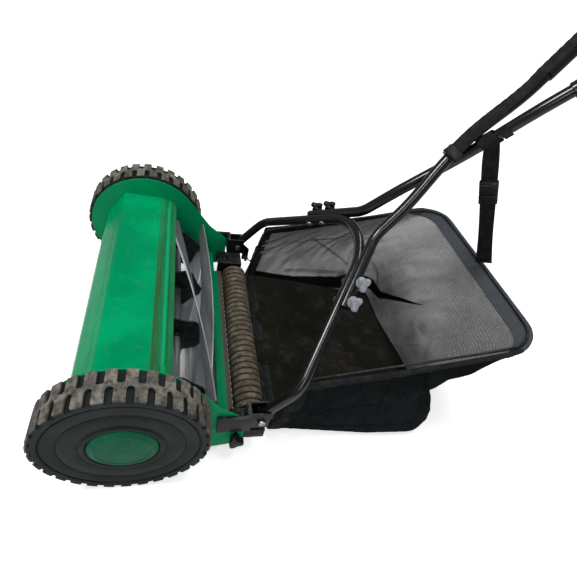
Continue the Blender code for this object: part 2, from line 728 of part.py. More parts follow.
def build_side_plate(side):
    """Flat steel plate: the gear disc with an ear that reaches back to the roller and the handle."""
    away = math.hypot(EAR_KINK_Y, EAR_KINK_Z - AXLE_Z)
    tangent = math.atan2(EAR_KINK_Z - AXLE_Z, EAR_KINK_Y) + math.acos(DISC_RADIUS / away)
    outline = arc(0.0, AXLE_Z, DISC_RADIUS, tangent, math.radians(275), 28)
    outline.append((DISC_FOOT_Y, DISC_FOOT_Z))
    outline.append((EAR_REAR - EAR_CORNER, EAR_BOTTOM - 0.4 * EAR_CORNER))
    outline.append((EAR_REAR, EAR_BOTTOM + 0.6 * EAR_CORNER))
    outline.append((EAR_REAR, EAR_TOP))
    outline.append((EAR_KINK_Y, EAR_KINK_Z))
    low, high = sorted((side * PLATE_INNER_FACE, side * PLATE_OUTER_FACE))
    plate = add_object(prism(outline, low, high), side_name(side, "side_plate"), GREEN)
    span = (side * (PLATE_INNER_FACE - CUTTER_REACH), side * (PLATE_OUTER_FACE + CUTTER_REACH))
    holes = (
        ("axle_hole", 0.0, AXLE_Z, AXLE_RADIUS + FIT_GAP),
        ("reel_hole", REEL_Y, REEL_Z, BEARING_RADIUS + FIT_GAP),
    )
    for name, y, z, radius in holes:
        profile = [(x, radius) for x in span]
        tool = add_cutter(turned(profile, 16, closed=False, y=y, z=z), side_name(side, name) + "_cutter")
        combine(plate, tool, "DIFFERENCE")
    top = HEIGHT_BOLT_Z + HEIGHT_UP
    bottom = HEIGHT_BOLT_Z - HEIGHT_DOWN
    slot = arc(HEIGHT_BOLT_Y, top, SLOT_HALF_WIDTH, 0.0, math.pi, 4)
    slot += arc(HEIGHT_BOLT_Y, bottom, SLOT_HALF_WIDTH, math.pi, 2 * math.pi, 4)
    tool = add_cutter(prism(slot, *sorted(span)), side_name(side, "slot_cutter"))
    combine(plate, tool, "DIFFERENCE")
    return plate


def build_cover():
    """Folded sheet over the reel, fitted between the side plates."""
    outer = [Vector((y, AXLE_Z + rise)) for y, rise in COVER_BENDS]
    inner = []
    for i, point in enumerate(outer):
        before = outer[max(i - 1, 0)]
        after = outer[min(i + 1, len(outer) - 1)]
        into = (point - before).normalized() if i else (after - point).normalized()
        away = (after - point).normalized() if i < len(outer) - 1 else into
        bisector = (Vector((into.y, -into.x)) + Vector((away.y, -away.x))).normalized()
        depth = COVER_THICKNESS / max(bisector.dot(Vector((into.y, -into.x))), 0.5)
        inner.append(point + bisector * depth)
    outline = [tuple(p) for p in outer] + [tuple(p) for p in reversed(inner)]
    half = PLATE_INNER_FACE - FIT_GAP
    return add_object(prism(outline, -half, half), "reel_cover", GREEN)


def build_bed_bar():
    """Green bar between the plates with a shelf that points back to the roller."""
    rear = BAR_FRONT + BAR_THICKNESS
    outline = [
        (BAR_FRONT, BAR_BOTTOM),
        (rear, BAR_BOTTOM),
        (rear, BAR_TOP - BAR_BULGE),
        ((BAR_FRONT + rear) / 2, BAR_TOP),
        (BAR_FRONT, BAR_TOP - BAR_BULGE),
    ]
    half = PLATE_INNER_FACE - FIT_GAP
    bar = add_object(prism(outline, -half, half), "bed_bar", GREEN)
    low = BAR_BOTTOM + FIT_GAP
    start = rear - BAR_THICKNESS / 2
    reach = ROLLER_Y - ROLLER_RADIUS - SHELF_TO_ROLLER
    shelf = [(start, low), (reach, low), (reach, low + SHELF_THICKNESS), (start, low + SHELF_THICKNESS)]
    tool = add_cutter(prism(shelf, -SHELF_HALF_LENGTH, SHELF_HALF_LENGTH), "bar_shelf_cutter")
    combine(bar, tool, "UNION")
    return bar


def build_bed_knife():
    """Flat blade under the bed bar; its front edge just clears the reel."""
    top = BAR_BOTTOM - FIT_GAP
    reach = REEL_RADIUS + KNIFE_EDGE_CLEARANCE
    drop = REEL_Z - top
    edge = REEL_Y + math.sqrt(reach ** 2 - drop ** 2)
    outline = [(edge, top), (edge + KNIFE_BEVEL, top - KNIFE_THICKNESS), (KNIFE_REAR, top - KNIFE_THICKNESS),
               (KNIFE_REAR, top)]
    half = PLATE_INNER_FACE - FIT_GAP
    return add_object(prism(outline, -half, half), "bed_knife", BLADE_STEEL)


def blade_angle(index, x):
    return 2 * math.pi * index / BLADE_COUNT + BLADE_TWIST * x / (2 * BLADE_HALF_LENGTH)


def build_blade(index):
    """One helical ribbon; its inner edge trails its cutting edge."""
    bm = bmesh.new()
    steps = 14
    rings = []
    for i in range(steps + 1):
        x = -BLADE_HALF_LENGTH + 2 * BLADE_HALF_LENGTH * i / steps
        a = blade_angle(index, x)
        outer = Vector((REEL_RADIUS * math.cos(a), REEL_RADIUS * math.sin(a)))
        b = a + BLADE_WIDTH_ANGLE
        inner = Vector((BLADE_INNER_RADIUS * math.cos(b), BLADE_INNER_RADIUS * math.sin(b)))
        flat = (inner - outer).normalized()
        across = Vector((flat.y, -flat.x)) * BLADE_THICKNESS
        points = (outer, inner, inner - across, outer + flat * BLADE_THICKNESS - across)
        rings.append([bm.verts.new((x, REEL_Y + p.x, REEL_Z + p.y)) for p in points])
    for first, second in zip(rings, rings[1:]):
        join_rings(bm, first, second)
    bm.faces.new(rings[0])
    bm.faces.new(rings[-1])
    return add_object(bm, "reel_blade_%d" % (index + 1), BLADE_STEEL, (0.0, REEL_Y, REEL_Z))


def build_spider(number, x):
    """Star plate on the shaft; each lug ends under the inner edge of a blade."""
    bm = bmesh.new()
    low, high = x - SPIDER_THICKNESS / 2, x + SPIDER_THICKNESS / 2
    lug = BLADE_INNER_RADIUS - FIT_GAP
    lug_half = math.radians(10)
    bore = SHAFT_RADIUS + FIT_GAP
    loops = []
    for station in (low, high):
        star = []
        hole = []
        for i in range(BLADE_COUNT):
            a = blade_angle(i, x) + BLADE_WIDTH_ANGLE
            waist = a + math.pi / BLADE_COUNT
            for angle, radius in ((a - lug_half, lug), (a + lug_half, lug), (waist, SPIDER_WAIST_RADIUS)):
                star.append(bm.verts.new((station, REEL_Y + radius * math.cos(angle),
                                          REEL_Z + radius * math.sin(angle))))
            for angle in (a - lug_half, a + lug_half, waist):
                hole.append(bm.verts.new((station, REEL_Y + bore * math.cos(angle),
                                          REEL_Z + bore * math.sin(angle))))
        join_rings(bm, star, hole)
        loops.append((star, hole))
    join_rings(bm, loops[0][0], loops[1][0])
    join_rings(bm, loops[0][1], loops[1][1])
    return add_object(bm, "reel_spider_%d" % number, BLACK_PAINT, (0.0, REEL_Y, REEL_Z))


def build_shaft():
    end = PLATE_OUTER_FACE + GEAR_STANDOFF + GEAR_WIDTH + SHAFT_STANDOUT
    profile = [(-end, SHAFT_RADIUS), (end, SHAFT_RADIUS)]
    bm = turned(profile, 12, closed=False, y=REEL_Y, z=REEL_Z)
    return add_object(bm, "reel_shaft", STEEL, (0.0, REEL_Y, REEL_Z))


def build_bearing(side):
    """Flanged bush that carries the reel shaft in the side plate."""
    outer_end = PLATE_OUTER_FACE + BEARING_STANDOUT
    inner_end = outer_end - BEARING_LENGTH
    flange_face = PLATE_INNER_FACE - FIT_GAP
    bore = SHAFT_RADIUS + RUNNING_GAP
    profile = [(outer_end, bore), (outer_end, BEARING_RADIUS), (flange_face, BEARING_RADIUS),
               (flange_face, BEARING_FLANGE_RADIUS), (inner_end, BEARING_FLANGE_RADIUS), (inner_end, bore)]
    bm = turned([(side * x, radius) for x, radius in profile], 16, y=REEL_Y, z=REEL_Z)
    return add_object(bm, side_name(side, "reel_bearing"), STEEL, (0.0, REEL_Y, REEL_Z))


def build_roller():
    profile = [(-ROLLER_HALF_LENGTH, ROLLER_BORE), (-ROLLER_HALF_LENGTH, ROLLER_RADIUS),
               (ROLLER_HALF_LENGTH, ROLLER_RADIUS), (ROLLER_HALF_LENGTH, ROLLER_BORE)]
    bm = turned(profile, 24, y=ROLLER_Y, z=ROLLER_RADIUS, start=-math.pi / 2)
    return add_object(bm, "roller", ROLLER_WOOD, (0.0, ROLLER_Y, ROLLER_RADIUS))


def build_roller_axle():
    end = ROLLER_HALF_LENGTH + ROLLER_SIDE_GAP + BRACKET_PLATE + ROLLER_AXLE_STANDOUT
    profile = [(-end, ROLLER_AXLE_RADIUS), (end, ROLLER_AXLE_RADIUS)]
    bm = turned(profile, 12, closed=False, y=ROLLER_Y, z=ROLLER_RADIUS)
    return add_object(bm, "roller_axle", STEEL, (0.0, ROLLER_Y, ROLLER_RADIUS))


def build_roller_bracket(side):
    """Z-shaped hanger: an arm beside the roller, a top web and a foot on the side plate."""
    arm = ROLLER_HALF_LENGTH + ROLLER_SIDE_GAP
    foot = PLATE_INNER_FACE - FIT_GAP
    top = ROLLER_BRACKET_TOP
    outline = [
        (arm, ROLLER_RADIUS - BRACKET_LUG),
        (arm + BRACKET_PLATE, ROLLER_RADIUS - BRACKET_LUG),
        (arm + BRACKET_PLATE, top - BRACKET_PLATE),
        (foot - BRACKET_PLATE, top - BRACKET_PLATE),
        (foot - BRACKET_PLATE, HEIGHT_BOLT_Z - BRACKET_LUG),
        (foot, HEIGHT_BOLT_Z - BRACKET_LUG),
        (foot, top),
        (arm, top),
    ]
    bm = prism(mirrored(outline, side), ROLLER_BRACKET_FRONT, ROLLER_BRACKET_REAR, "Y")
    bracket = add_object(bm, side_name(side, "roller_bracket"), BLACK_PAINT)
    far, near = 0.5 * arm, foot + CUTTER_REACH
    axle_hole = [(side * far, ROLLER_AXLE_RADIUS + FIT_GAP), (side * near, ROLLER_AXLE_RADIUS + FIT_GAP)]
    bolt_hole = [(side * (arm + foot) / 2, HEIGHT_BOLT_RADIUS + FIT_GAP),
                 (side * near, HEIGHT_BOLT_RADIUS + FIT_GAP)]
    for name, profile, y, z in (("roller_axle_hole", axle_hole, ROLLER_Y, ROLLER_RADIUS),
                                ("height_bolt_hole", bolt_hole, HEIGHT_BOLT_Y, HEIGHT_BOLT_Z)):
        tool = add_cutter(turned(profile, 12, closed=False, y=y, z=z), side_name(side, name) + "_cutter")
        combine(bracket, tool, "DIFFERENCE")
    return bracket


def lobed_knob(length, collar, radius, shank, shank_length, head_radius, head_height):
    """A three-lobed clamping knob along +X from its seat, with its threaded shank behind it."""
    bm = bmesh.new()
    side, up = Vector((0, 1, 0)), Vector((0, 0, 1))
    count = 6 * KNOB_LOBES

    def lobed(x, size):
        verts = []
        for i in range(count):
            a = 2 * math.pi * i / count
            r = size * (1.0 - KNOB_LOBE_DEPTH + KNOB_LOBE_DEPTH * math.cos(KNOB_LOBES * a))
            verts.append(bm.verts.new(Vector((x, 0, 0)) + r * (math.cos(a) * side + math.sin(a) * up)))
        return verts

    rings = []
    if shank_length:
        if head_radius:
            rings.append(ring(bm, Vector((-shank_length - head_height, 0, 0)), side, up, head_radius, count))
            rings.append(ring(bm, Vector((-shank_length, 0, 0)), side, up, head_radius, count))
        rings.append(ring(bm, Vector((-shank_length, 0, 0)), side, up, shank, count))
        rings.append(ring(bm, Vector((0, 0, 0)), side, up, shank, count))
    rings.append(ring(bm, Vector((0, 0, 0)), side, up, collar, count))
    rings.append(ring(bm, Vector((length * KNOB_COLLAR_PART, 0, 0)), side, up, collar, count))
    rings.append(lobed(length * KNOB_COLLAR_PART, radius))
    rings.append(lobed(length, radius * KNOB_FACE_PART))
    for first, second in zip(rings, rings[1:]):
        join_rings(bm, first, second)
    bm.faces.new(rings[0])
    bm.faces.new(rings[-1])
    return bm


def build_height_knob(side):
    """Clamp knob of the roller height; its shank runs through the plate's slot."""
    seat = PLATE_OUTER_FACE + FIT_GAP
    inner = PLATE_INNER_FACE - 2 * FIT_GAP - BRACKET_PLATE
    bm = lobed_knob(HEIGHT_KNOB_LENGTH, HEIGHT_KNOB_COLLAR, HEIGHT_KNOB_RADIUS, HEIGHT_BOLT_RADIUS,
                    seat - inner, BOLT_HEAD_RADIUS, BOLT_HEAD_HEIGHT)
    aim(bm, (side * seat, HEIGHT_BOLT_Y, HEIGHT_BOLT_Z), (side, 0, 0))
    return add_object(bm, side_name(side, "height_knob"), BLACK_PLASTIC,
                      (side * seat, HEIGHT_BOLT_Y, HEIGHT_BOLT_Z))


def build_handle_bracket(side):
    """Block on the ear's outer face that turns round its rear edge into a fork for the arch foot."""
    pad = PLATE_OUTER_FACE + FIT_GAP
    outer = CHEEK_OUTER + BRACKET_CHEEK
    web_front = EAR_REAR + FIT_GAP
    outline = [
        (pad, BRACKET_FRONT),
        (max(pad + BRACKET_PAD, outer), BRACKET_FRONT),
        (max(pad + BRACKET_PAD, outer), BRACKET_WEB_REAR),
        (outer, BRACKET_WEB_REAR),
        (outer, BRACKET_REAR),
        (CHEEK_OUTER, BRACKET_REAR),
        (CHEEK_OUTER, BRACKET_WEB_REAR),
        (CHEEK_INNER, BRACKET_WEB_REAR),
        (CHEEK_INNER, BRACKET_REAR),
        (CHEEK_INNER - BRACKET_CHEEK, BRACKET_REAR),
        (CHEEK_INNER - BRACKET_CHEEK, web_front),
        (pad, web_front),
    ]
    bm = prism(mirrored(outline, side), BRACKET_BOTTOM, BRACKET_TOP, "Z")
    bracket = add_object(bm, side_name(side, "handle_bracket"), BLACK_PAINT)
    inner_face = CHEEK_INNER - BRACKET_CHEEK
    inset = PEG_ARM_INSET
    arm_low = PEG_Z - 2 * PEG_RADIUS
    arm_rear = PEG_Y + 2 * PEG_RADIUS
    arm_root = BRACKET_BOTTOM + BRACKET_CHEEK / 2
    arm_top = BRACKET_TOP - PEG_ARM_TOP_DROP
    arm_front = BRACKET_REAR - PEG_ARM_ROOT
    outline = [
        (BRACKET_REAR + inset, arm_low),
        (arm_rear, arm_low),
        (arm_rear, BRACKET_BOTTOM + PEG_ARM_REAR_HEIGHT),
        (BRACKET_REAR - PEG_ARM_ROOT_REAR, arm_top),
        (arm_front, arm_top),
        (arm_front, arm_root),
        (BRACKET_REAR + inset, arm_root),
    ]
    arm = prism(outline, *sorted((side * (inner_face + inset), side * (CHEEK_INNER - inset))))
    combine(bracket, add_cutter(arm, side_name(side, "peg_arm_cutter")), "UNION")
    peg_span = (side * (inner_face + BRACKET_CHEEK / 3), side * (inner_face - PEG_LENGTH))
    peg = turned([(x, PEG_RADIUS) for x in peg_span], 12, closed=False, y=PEG_Y, z=PEG_Z)
    peg_tool = add_cutter(peg, side_name(side, "peg_cutter"))
    combine(bracket, peg_tool, "UNION")
    hole = [(side * (CHEEK_INNER - CUTTER_REACH), PIVOT_BOLT_RADIUS + FIT_GAP),
            (side * (CHEEK_OUTER + CUTTER_REACH), PIVOT_BOLT_RADIUS + FIT_GAP)]
    tool = add_cutter(turned(hole, 12, closed=False, y=PIVOT_Y, z=PIVOT_Z),
                      side_name(side, "pivot_hole_cutter"))
    combine(bracket, tool, "DIFFERENCE")
    return bracket


def build_pivot_bolt(side):
    inner = CHEEK_INNER - BRACKET_CHEEK - FIT_GAP
    outer = CHEEK_OUTER + BRACKET_CHEEK + FIT_GAP
    head = BOLT_HEAD_HEIGHT
    profile = [(inner - head, BOLT_HEAD_RADIUS), (inner, BOLT_HEAD_RADIUS), (inner, PIVOT_BOLT_RADIUS),
               (outer, PIVOT_BOLT_RADIUS), (outer, BOLT_HEAD_RADIUS), (outer + head, BOLT_HEAD_RADIUS)]
    bm = turned([(side * x, r) for x, r in profile], 12, closed=False, y=PIVOT_Y, z=PIVOT_Z)
    return add_object(bm, side_name(side, "pivot_bolt"), STEEL, (0.0, PIVOT_Y, PIVOT_Z))


def leg_start():
    """Where the straight leg meets the crown arc, as (x, along) in the handle plane."""
    x = ARCH_CROWN_RADIUS * math.cos(LEG_LEAN)
    return x, ARCH_TOP - ARCH_CROWN_RADIUS * (1 - math.sin(LEG_LEAN))


def leg_point(down, outward=0.0):
    """A point beside the left leg, some way down from the crown and outwards from its axis."""
    x, along = leg_start()
    x += down * math.sin(LEG_LEAN) + outward * math.cos(LEG_LEAN)
    along += -down * math.cos(LEG_LEAN) + outward * math.sin(LEG_LEAN)
    return x, along


def arch_path():
    x, along = leg_start()
    down = (FOOT_X - x) / math.sin(LEG_LEAN)
    foot_corner = along - down * math.cos(LEG_LEAN)
    apex = along + x / math.tan(LEG_LEAN)
    corners = [on_handle(FOOT_X, -FOOT_BEYOND_PIVOT), on_handle(FOOT_X, foot_corner),
               on_handle(0.0, apex), on_handle(-FOOT_X, foot_corner),
               on_handle(-FOOT_X, -FOOT_BEYOND_PIVOT)]
    foot = rounded_path(corners[:3], [ARCH_FOOT_BEND], 4)[:-1]
    crown = rounded_path(corners[1:4], [ARCH_CROWN_RADIUS], 9)[1:-1]
    other = [Vector((-p.x, p.y, p.z)) for p in reversed(foot)]
    return foot + crown + other


def bolt_hole(side, down):
    """Cutter for a joint bolt square to the leg in the handle plane."""
    inner = leg_point(down, -TUBE_RADIUS - CUTTER_REACH)
    outer = leg_point(down, NEST_OFFSET + TUBE_RADIUS + CUTTER_REACH)
    start = on_handle(side * inner[0], inner[1])
    end = on_handle(side * outer[0], outer[1])
    radius = JOINT_BOLT_RADIUS + FIT_GAP
    return aim(turned([(0.0, radius), ((end - start).length, radius)], 10, closed=False),
               start, end - start)


def build_arch():
    """Lower handle: one tube bent into a wide-footed arch."""
    bm = sweep(arch_path(), TUBE_RADIUS, TUBE_SIDES, TUBE_RADIUS - TUBE_WALL)
    arch = add_object(bm, "lower_arch", BLACK_PAINT, (0.0, PIVOT_Y, PIVOT_Z))
    for side in (1, -1):
        profile = [(side * (FOOT_X - CUTTER_REACH), PIVOT_BOLT_RADIUS + RUNNING_GAP),
                   (side * (FOOT_X + CUTTER_REACH), PIVOT_BOLT_RADIUS + RUNNING_GAP)]
        pivot = turned(profile, 12, closed=False, y=PIVOT_Y, z=PIVOT_Z)
        combine(arch, add_cutter(pivot, side_name(side, "arch_pivot_cutter")), "DIFFERENCE")
        for number, down in enumerate(NEST_BOLT_STEPS, 1):
            name = side_name(side, "arch_bolt_%d_cutter" % number)
            combine(arch, add_cutter(bolt_hole(side, down), name), "DIFFERENCE")
    return arch


def crossing_hump(along):
    """Share of the crossing's offset at a station: one at the crossing, none beyond its span."""
    part = abs(along - CROSSING) / CROSSING_SPAN
    return math.cos(math.pi / 2 * part) ** 2 if part < 1.0 else 0.0


def crossing_lift(side, along):
    """Height above the handle plane: the left tube passes over the right one."""
    return side * (TUBE_RADIUS + FIT_GAP) * crossing_hump(along)


def crossing_x(side, along):
    lean = LEAN_BELOW_CROSSING if along < CROSSING else LEAN_ABOVE_CROSSING
    return side * lean * (CROSSING - along) + CROSSING_SHIFT * crossing_hump(along)


def upper_tube_path(side):
    """Axis of an upper tube: beside the arch leg, over or under the other tube, to the loop."""
    line_x, line_along = leg_point(0.0, NEST_OFFSET)
    lean = math.sin(LEG_LEAN)
    rise = math.cos(LEG_LEAN)
    run = (line_x - LEAN_BELOW_CROSSING * (CROSSING - line_along)) / (lean - LEAN_BELOW_CROSSING * rise)
    corner = (line_x - run * lean, line_along + run * rise)
    start = leg_point(NEST_LENGTH, NEST_OFFSET)
    ahead = UPPER_BEND_AHEAD
    flat = [(side * start[0], start[1], 0.0), (side * corner[0], corner[1], 0.0),
            (crossing_x(side, corner[1] + ahead), corner[1] + ahead, 0.0)]
    bend = rounded_path(flat, [UPPER_BEND_RADIUS], 5)[:-1]
    points = [on_handle(p.x, p.y, crossing_lift(side, p.y)) for p in bend]
    steps = 12
    begin = bend[-1].y + 0.02
    for i in range(steps + 1):
        along = begin + (UPPER_TUBE_END - begin) * i / steps
        points.append(on_handle(crossing_x(side, along), along, crossing_lift(side, along)))
    return points


def crossing_pin(low, high, radius):
    """A round pin square to the handle plane, through both tubes where they cross."""
    start = on_handle(CROSSING_SHIFT, CROSSING, low)
    end = on_handle(CROSSING_SHIFT, CROSSING, high)
    return aim(turned([(0.0, radius), ((end - start).length, radius)], 10, closed=False), start, end - start)


def build_upper_tube(side):
    """Upper handle tube: its lower end is pressed hollow to nest against the arch leg."""
    path = upper_tube_path(side)
    name = side_name(side, "upper_tube")
    tube = add_object(sweep(path, TUBE_RADIUS, TUBE_SIDES), name, BLACK_PAINT, (0.0, PIVOT_Y, PIVOT_Z))
    bore_path = path[2:]
    bore_path[-1] = bore_path[-1] + (path[-1] - path[-2]).normalized() * CUTTER_REACH
    bore = sweep(bore_path, TUBE_RADIUS - TUBE_WALL, TUBE_SIDES)
    combine(tube, add_cutter(bore, name + "_bore_cutter"), "DIFFERENCE")
    nest = sweep(arch_path(), TUBE_RADIUS + FIT_GAP, TUBE_SIDES)
    combine(tube, add_cutter(nest, name + "_nest_cutter"), "DIFFERENCE")
    for number, down in enumerate(NEST_BOLT_STEPS, 1):
        tool = add_cutter(bolt_hole(side, down), name + "_bolt_%d_cutter" % number)
        combine(tube, tool, "DIFFERENCE")
    hole = crossing_pin(-4 * TUBE_RADIUS, 4 * TUBE_RADIUS, JOINT_BOLT_RADIUS + FIT_GAP)
    combine(tube, add_cutter(hole, name + "_crossing_cutter"), "DIFFERENCE")
    return tube


def build_joint_bolt(side, number, down):
    """Round-headed bolt from the inner side of the arch leg out to its wing knob."""
    head_x, head_along = leg_point(down, -(TUBE_RADIUS + FIT_GAP))
    start = on_handle(side * head_x, head_along)
    out_x, out_along = leg_point(down, 0.0)
    direction = (on_handle(side * out_x, out_along) - start).normalized()
    length = 2 * TUBE_RADIUS + 2 * FIT_GAP + NEST_OFFSET + KNOB_LENGTH * 0.8
    profile = [(-BOLT_HEAD_HEIGHT, 0.0), (-BOLT_HEAD_HEIGHT, BOLT_HEAD_RADIUS * 0.6),
               (-BOLT_HEAD_HEIGHT / 2, BOLT_HEAD_RADIUS), (0.0, BOLT_HEAD_RADIUS),
               (0.0, JOINT_BOLT_RADIUS), (length, JOINT_BOLT_RADIUS), (length, 0.0)]
    bm = aim(turned(profile, 10, closed=False), start, direction)
    return add_object(bm, side_name(side, "joint_bolt_%d" % number), STEEL, start)


def build_joint_knob(side, number, down):
    """Wing knob on the outer side of the upper tube, threaded over its bolt."""
    seat_x, seat_along = leg_point(down, NEST_OFFSET + TUBE_RADIUS + FIT_GAP)
    seat = on_handle(side * seat_x, seat_along)
    inner = leg_point(down, 0.0)
    direction = (seat - on_handle(side * inner[0], inner[1])).normalized()
    bm = lobed_knob(KNOB_LENGTH, KNOB_COLLAR, KNOB_RADIUS, 0.0, 0.0, 0.0, 0.0)
    aim(bm, seat, direction)
    name = side_name(side, "joint_knob_%d" % number)
    knob = add_object(bm, name, KNOB_SILVER, seat)
    radius = JOINT_BOLT_RADIUS + RUNNING_GAP
    hole_span = (-KNOB_LENGTH, KNOB_LENGTH * 0.9)
    hole = aim(turned([(x, radius) for x in hole_span], 10, closed=False), seat, direction)
    combine(knob, add_cutter(hole, name + "_cutter"), "DIFFERENCE")
    return knob


def build_crossing_rivet():
    """Headless rivet that pins the two tubes together where they cross."""
    reach = 2 * TUBE_RADIUS + FIT_GAP + RIVET_STANDOUT
    bm = crossing_pin(-reach, reach, JOINT_BOLT_RADIUS)
    return add_object(bm, "crossing_rivet", STEEL, on_handle(CROSSING_SHIFT, CROSSING))


def beside_left_tube(along, reach):
    """A point at some reach from the left tube's axis, and the direction across a band there.

    The band starts on the tube's left flank at the slider and turns to lie on top of it.
    """
    part = min(max((along - GLIDE_START) / (BAND_TURN_END - GLIDE_START), 0.0), 1.0)
    turn = BAND_TURN * (1.0 - part)
    normal = on_handle(0.0, 0.0, 1.0) - on_handle(0.0, 0.0)
    side = Vector((1.0, 0.0, 0.0))
    outward = normal * math.cos(turn) + side * math.sin(turn)
    across = side * math.cos(turn) - normal * math.sin(turn)
    axis = on_handle(crossing_x(1, along), along, crossing_lift(1, along))
    return axis + outward * reach, across


def build_tri_glide():
    """Plastic slider that holds the webbing down on the left tube."""
    stations = []
    for along in (GLIDE_START, GLIDE_START + GLIDE_LENGTH):
        centre, across = beside_left_tube(along, GLIDE_HEIGHT / 2)
        stations.append((centre, across, GLIDE_WIDTH))
    bm = ribbon(stations, GLIDE_HEIGHT)
    glide = add_object(bm, "tri_glide", BLACK_PLASTIC, (0.0, PIVOT_Y, PIVOT_Z))
    tool = sweep(upper_tube_path(1)[4:], TUBE_RADIUS + FIT_GAP, TUBE_SIDES)
    combine(glide, add_cutter(tool, "glide_cutter"), "DIFFERENCE")
    return glide


def build_handle_webbing():
    """Flat webbing lying along the left tube, stitched round the top loop at its upper end."""
    start = GLIDE_START + GLIDE_LENGTH + 2 * FIT_GAP
    over_tube = TUBE_RADIUS + 2 * FIT_GAP + BAND_THICKNESS / 2
    over_loop = LOOP_TUBE_RADIUS + FIT_GAP + BAND_THICKNESS / 2
    steps = 9
    ramp_start = SOCKET_START - BAND_RAMP
    heights = [(start + (ramp_start - start) * i / steps, over_tube) for i in range(steps + 1)]
    heights += [(SOCKET_START - BAND_RAMP_REST, over_loop), (BAND_END, over_loop)]
    stations = []
    for along, reach in heights:
        centre, across = beside_left_tube(along, reach)
        stations.append((centre, across, BAND_WIDTH))
    band = add_object(ribbon(stations, BAND_THICKNESS), "handle_webbing", WEBBING, (0.0, PIVOT_Y, PIVOT_Z))
    bore = bore_round(LOOP_TUBE_RADIUS)
    wrap_start = on_handle(crossing_x(1, BAND_END - BAND_WRAP), BAND_END - BAND_WRAP)
    wrap_end = on_handle(crossing_x(1, BAND_END), BAND_END)
    profile = [(0.0, bore), (0.0, bore + BAND_THICKNESS), (BAND_WRAP, bore + BAND_THICKNESS),
               (BAND_WRAP, bore)]
    wrap = aim(turned(profile, TUBE_SIDES), wrap_start, wrap_end - wrap_start)
    combine(band, add_cutter(wrap, "webbing_wrap_cutter"), "UNION")
    return band


def loop_corners():
    """Corner points of the top loop: over each upper tube, out, and across."""
    bend_x = LEAN_ABOVE_CROSSING * (LOOP_BEND - CROSSING)
    top_x = bend_x + LOOP_LEAN * (LOOP_TOP - LOOP_BEND)
    start_x = LEAN_ABOVE_CROSSING * (SOCKET_START - CROSSING)
    return start_x, bend_x, top_x


def build_handle_loop():
    """Top loop: a wider tube that slides over both upper tubes and carries the grips."""
    start_x, bend_x, top_x = loop_corners()
    corners = [on_handle(start_x, SOCKET_START), on_handle(bend_x, LOOP_BEND), on_handle(top_x, LOOP_TOP),
               on_handle(-top_x, LOOP_TOP), on_handle(-bend_x, LOOP_BEND), on_handle(-start_x, SOCKET_START)]
    radii = [LOOP_BEND_RADIUS, LOOP_CORNER_RADIUS, LOOP_CORNER_RADIUS, LOOP_BEND_RADIUS]
    bm = sweep(rounded_path(corners, radii, 4), LOOP_TUBE_RADIUS, TUBE_SIDES, SLEEVE_BORE)
    return add_object(bm, "handle_loop", BLACK_PAINT, (0.0, PIVOT_Y, PIVOT_Z))


def build_grip(side):
    """Foam grip on the cross bar of the loop."""
    bore = LOOP_TUBE_RADIUS + FIT_GAP
    start, end = GRIP_START, GRIP_START + GRIP_LENGTH
    eased = GRIP_RADIUS - GRIP_EASE
    profile = [(start, bore), (start, eased), (start + GRIP_EASE, GRIP_RADIUS),
               (end - GRIP_EASE, GRIP_RADIUS), (end, eased), (end, bore)]
    bm = turned([(side * x, r) for x, r in profile], 16)
    centre = on_handle(0.0, LOOP_TOP)
    bm.transform(Matrix.Translation(centre))
    return add_object(bm, side_name(side, "grip"), FOAM, (0.0, PIVOT_Y, PIVOT_Z))


def bag_outline(level, inset=0.0):
    """Plan of the bag at a level from 0 (floor) to 1 (rim): front left, round the rear, front right."""
    rear_y = BAG_FLOOR_REAR + (BAG_RIM_REAR_Y - BAG_FLOOR_REAR) * level ** BAG_REAR_FLARE - inset
    front_y = BAG_FLOOR_FRONT + (BAG_RIM_FRONT_Y - BAG_FLOOR_FRONT) * level
    belly = BAG_BELLY * math.sin(math.pi * level)
    front_x = BAG_FLOOR_HALF_FRONT + (BAG_RIM_HALF_FRONT - BAG_FLOOR_HALF_FRONT) * level + belly - inset
    rear_x = BAG_FLOOR_HALF_REAR + (BAG_RIM_HALF_REAR - BAG_FLOOR_HALF_REAR) * level + belly - inset
    front_z = BAG_BOTTOM + (BAG_RIM_FRONT_Z - BAG_BOTTOM) * level
    rear_z = BAG_BOTTOM + (BAG_RIM_REAR_Z - BAG_BOTTOM) * level
    corner = max(BAG_CORNER_RADIUS - inset, WIRE_RADIUS)
    flat = [(front_x, front_y, 0.0), (rear_x, rear_y, 0.0), (0.0, rear_y, 0.0)]
    half = rounded_path(flat, [corner], 4)
    mid = half[0].lerp(half[1], 0.5)
    half.insert(1, mid)
    slope = (rear_z - front_z) / (rear_y - front_y)
    left = [Vector((p.x, p.y, front_z + slope * (p.y - front_y))) for p in half]
    right = [Vector((-p.x, p.y, p.z)) for p in reversed(left[:-1])]
    return left + right


def build_bag():
    """Cloth bag: floor, two sides and a rear wall; open at the front and at the top."""
    bm = bmesh.new()
    half = CLOTH_THICKNESS / 2
    rows = []
    for i in range(BAG_LEVELS + 1):
        row = bag_outline(i / BAG_LEVELS, half)
        rows.append([bm.verts.new(p + Vector((0.0, 0.0, half))) for p in row])
    for low, high in zip(rows, rows[1:]):
        for i in range(len(low) - 1):
            bm.faces.new((low[i], low[i + 1], high[i + 1], high[i]))
    floor = rows[0]
    last = len(floor) - 1
    for i in range(last // 2 - 1):
        bm.faces.new((floor[i], floor[last - i], floor[last - i - 1], floor[i + 1]))
    middle = last // 2
    bm.faces.new((floor[middle - 1], floor[middle + 1], floor[middle]))
    bag = add_object(bm, "grass_bag", CLOTH)
    wall = bag.modifiers.new("Cloth", "SOLIDIFY")
    wall.thickness = CLOTH_THICKNESS
    wall.offset = 0.0
    wall.use_even_offset = True
    return bag


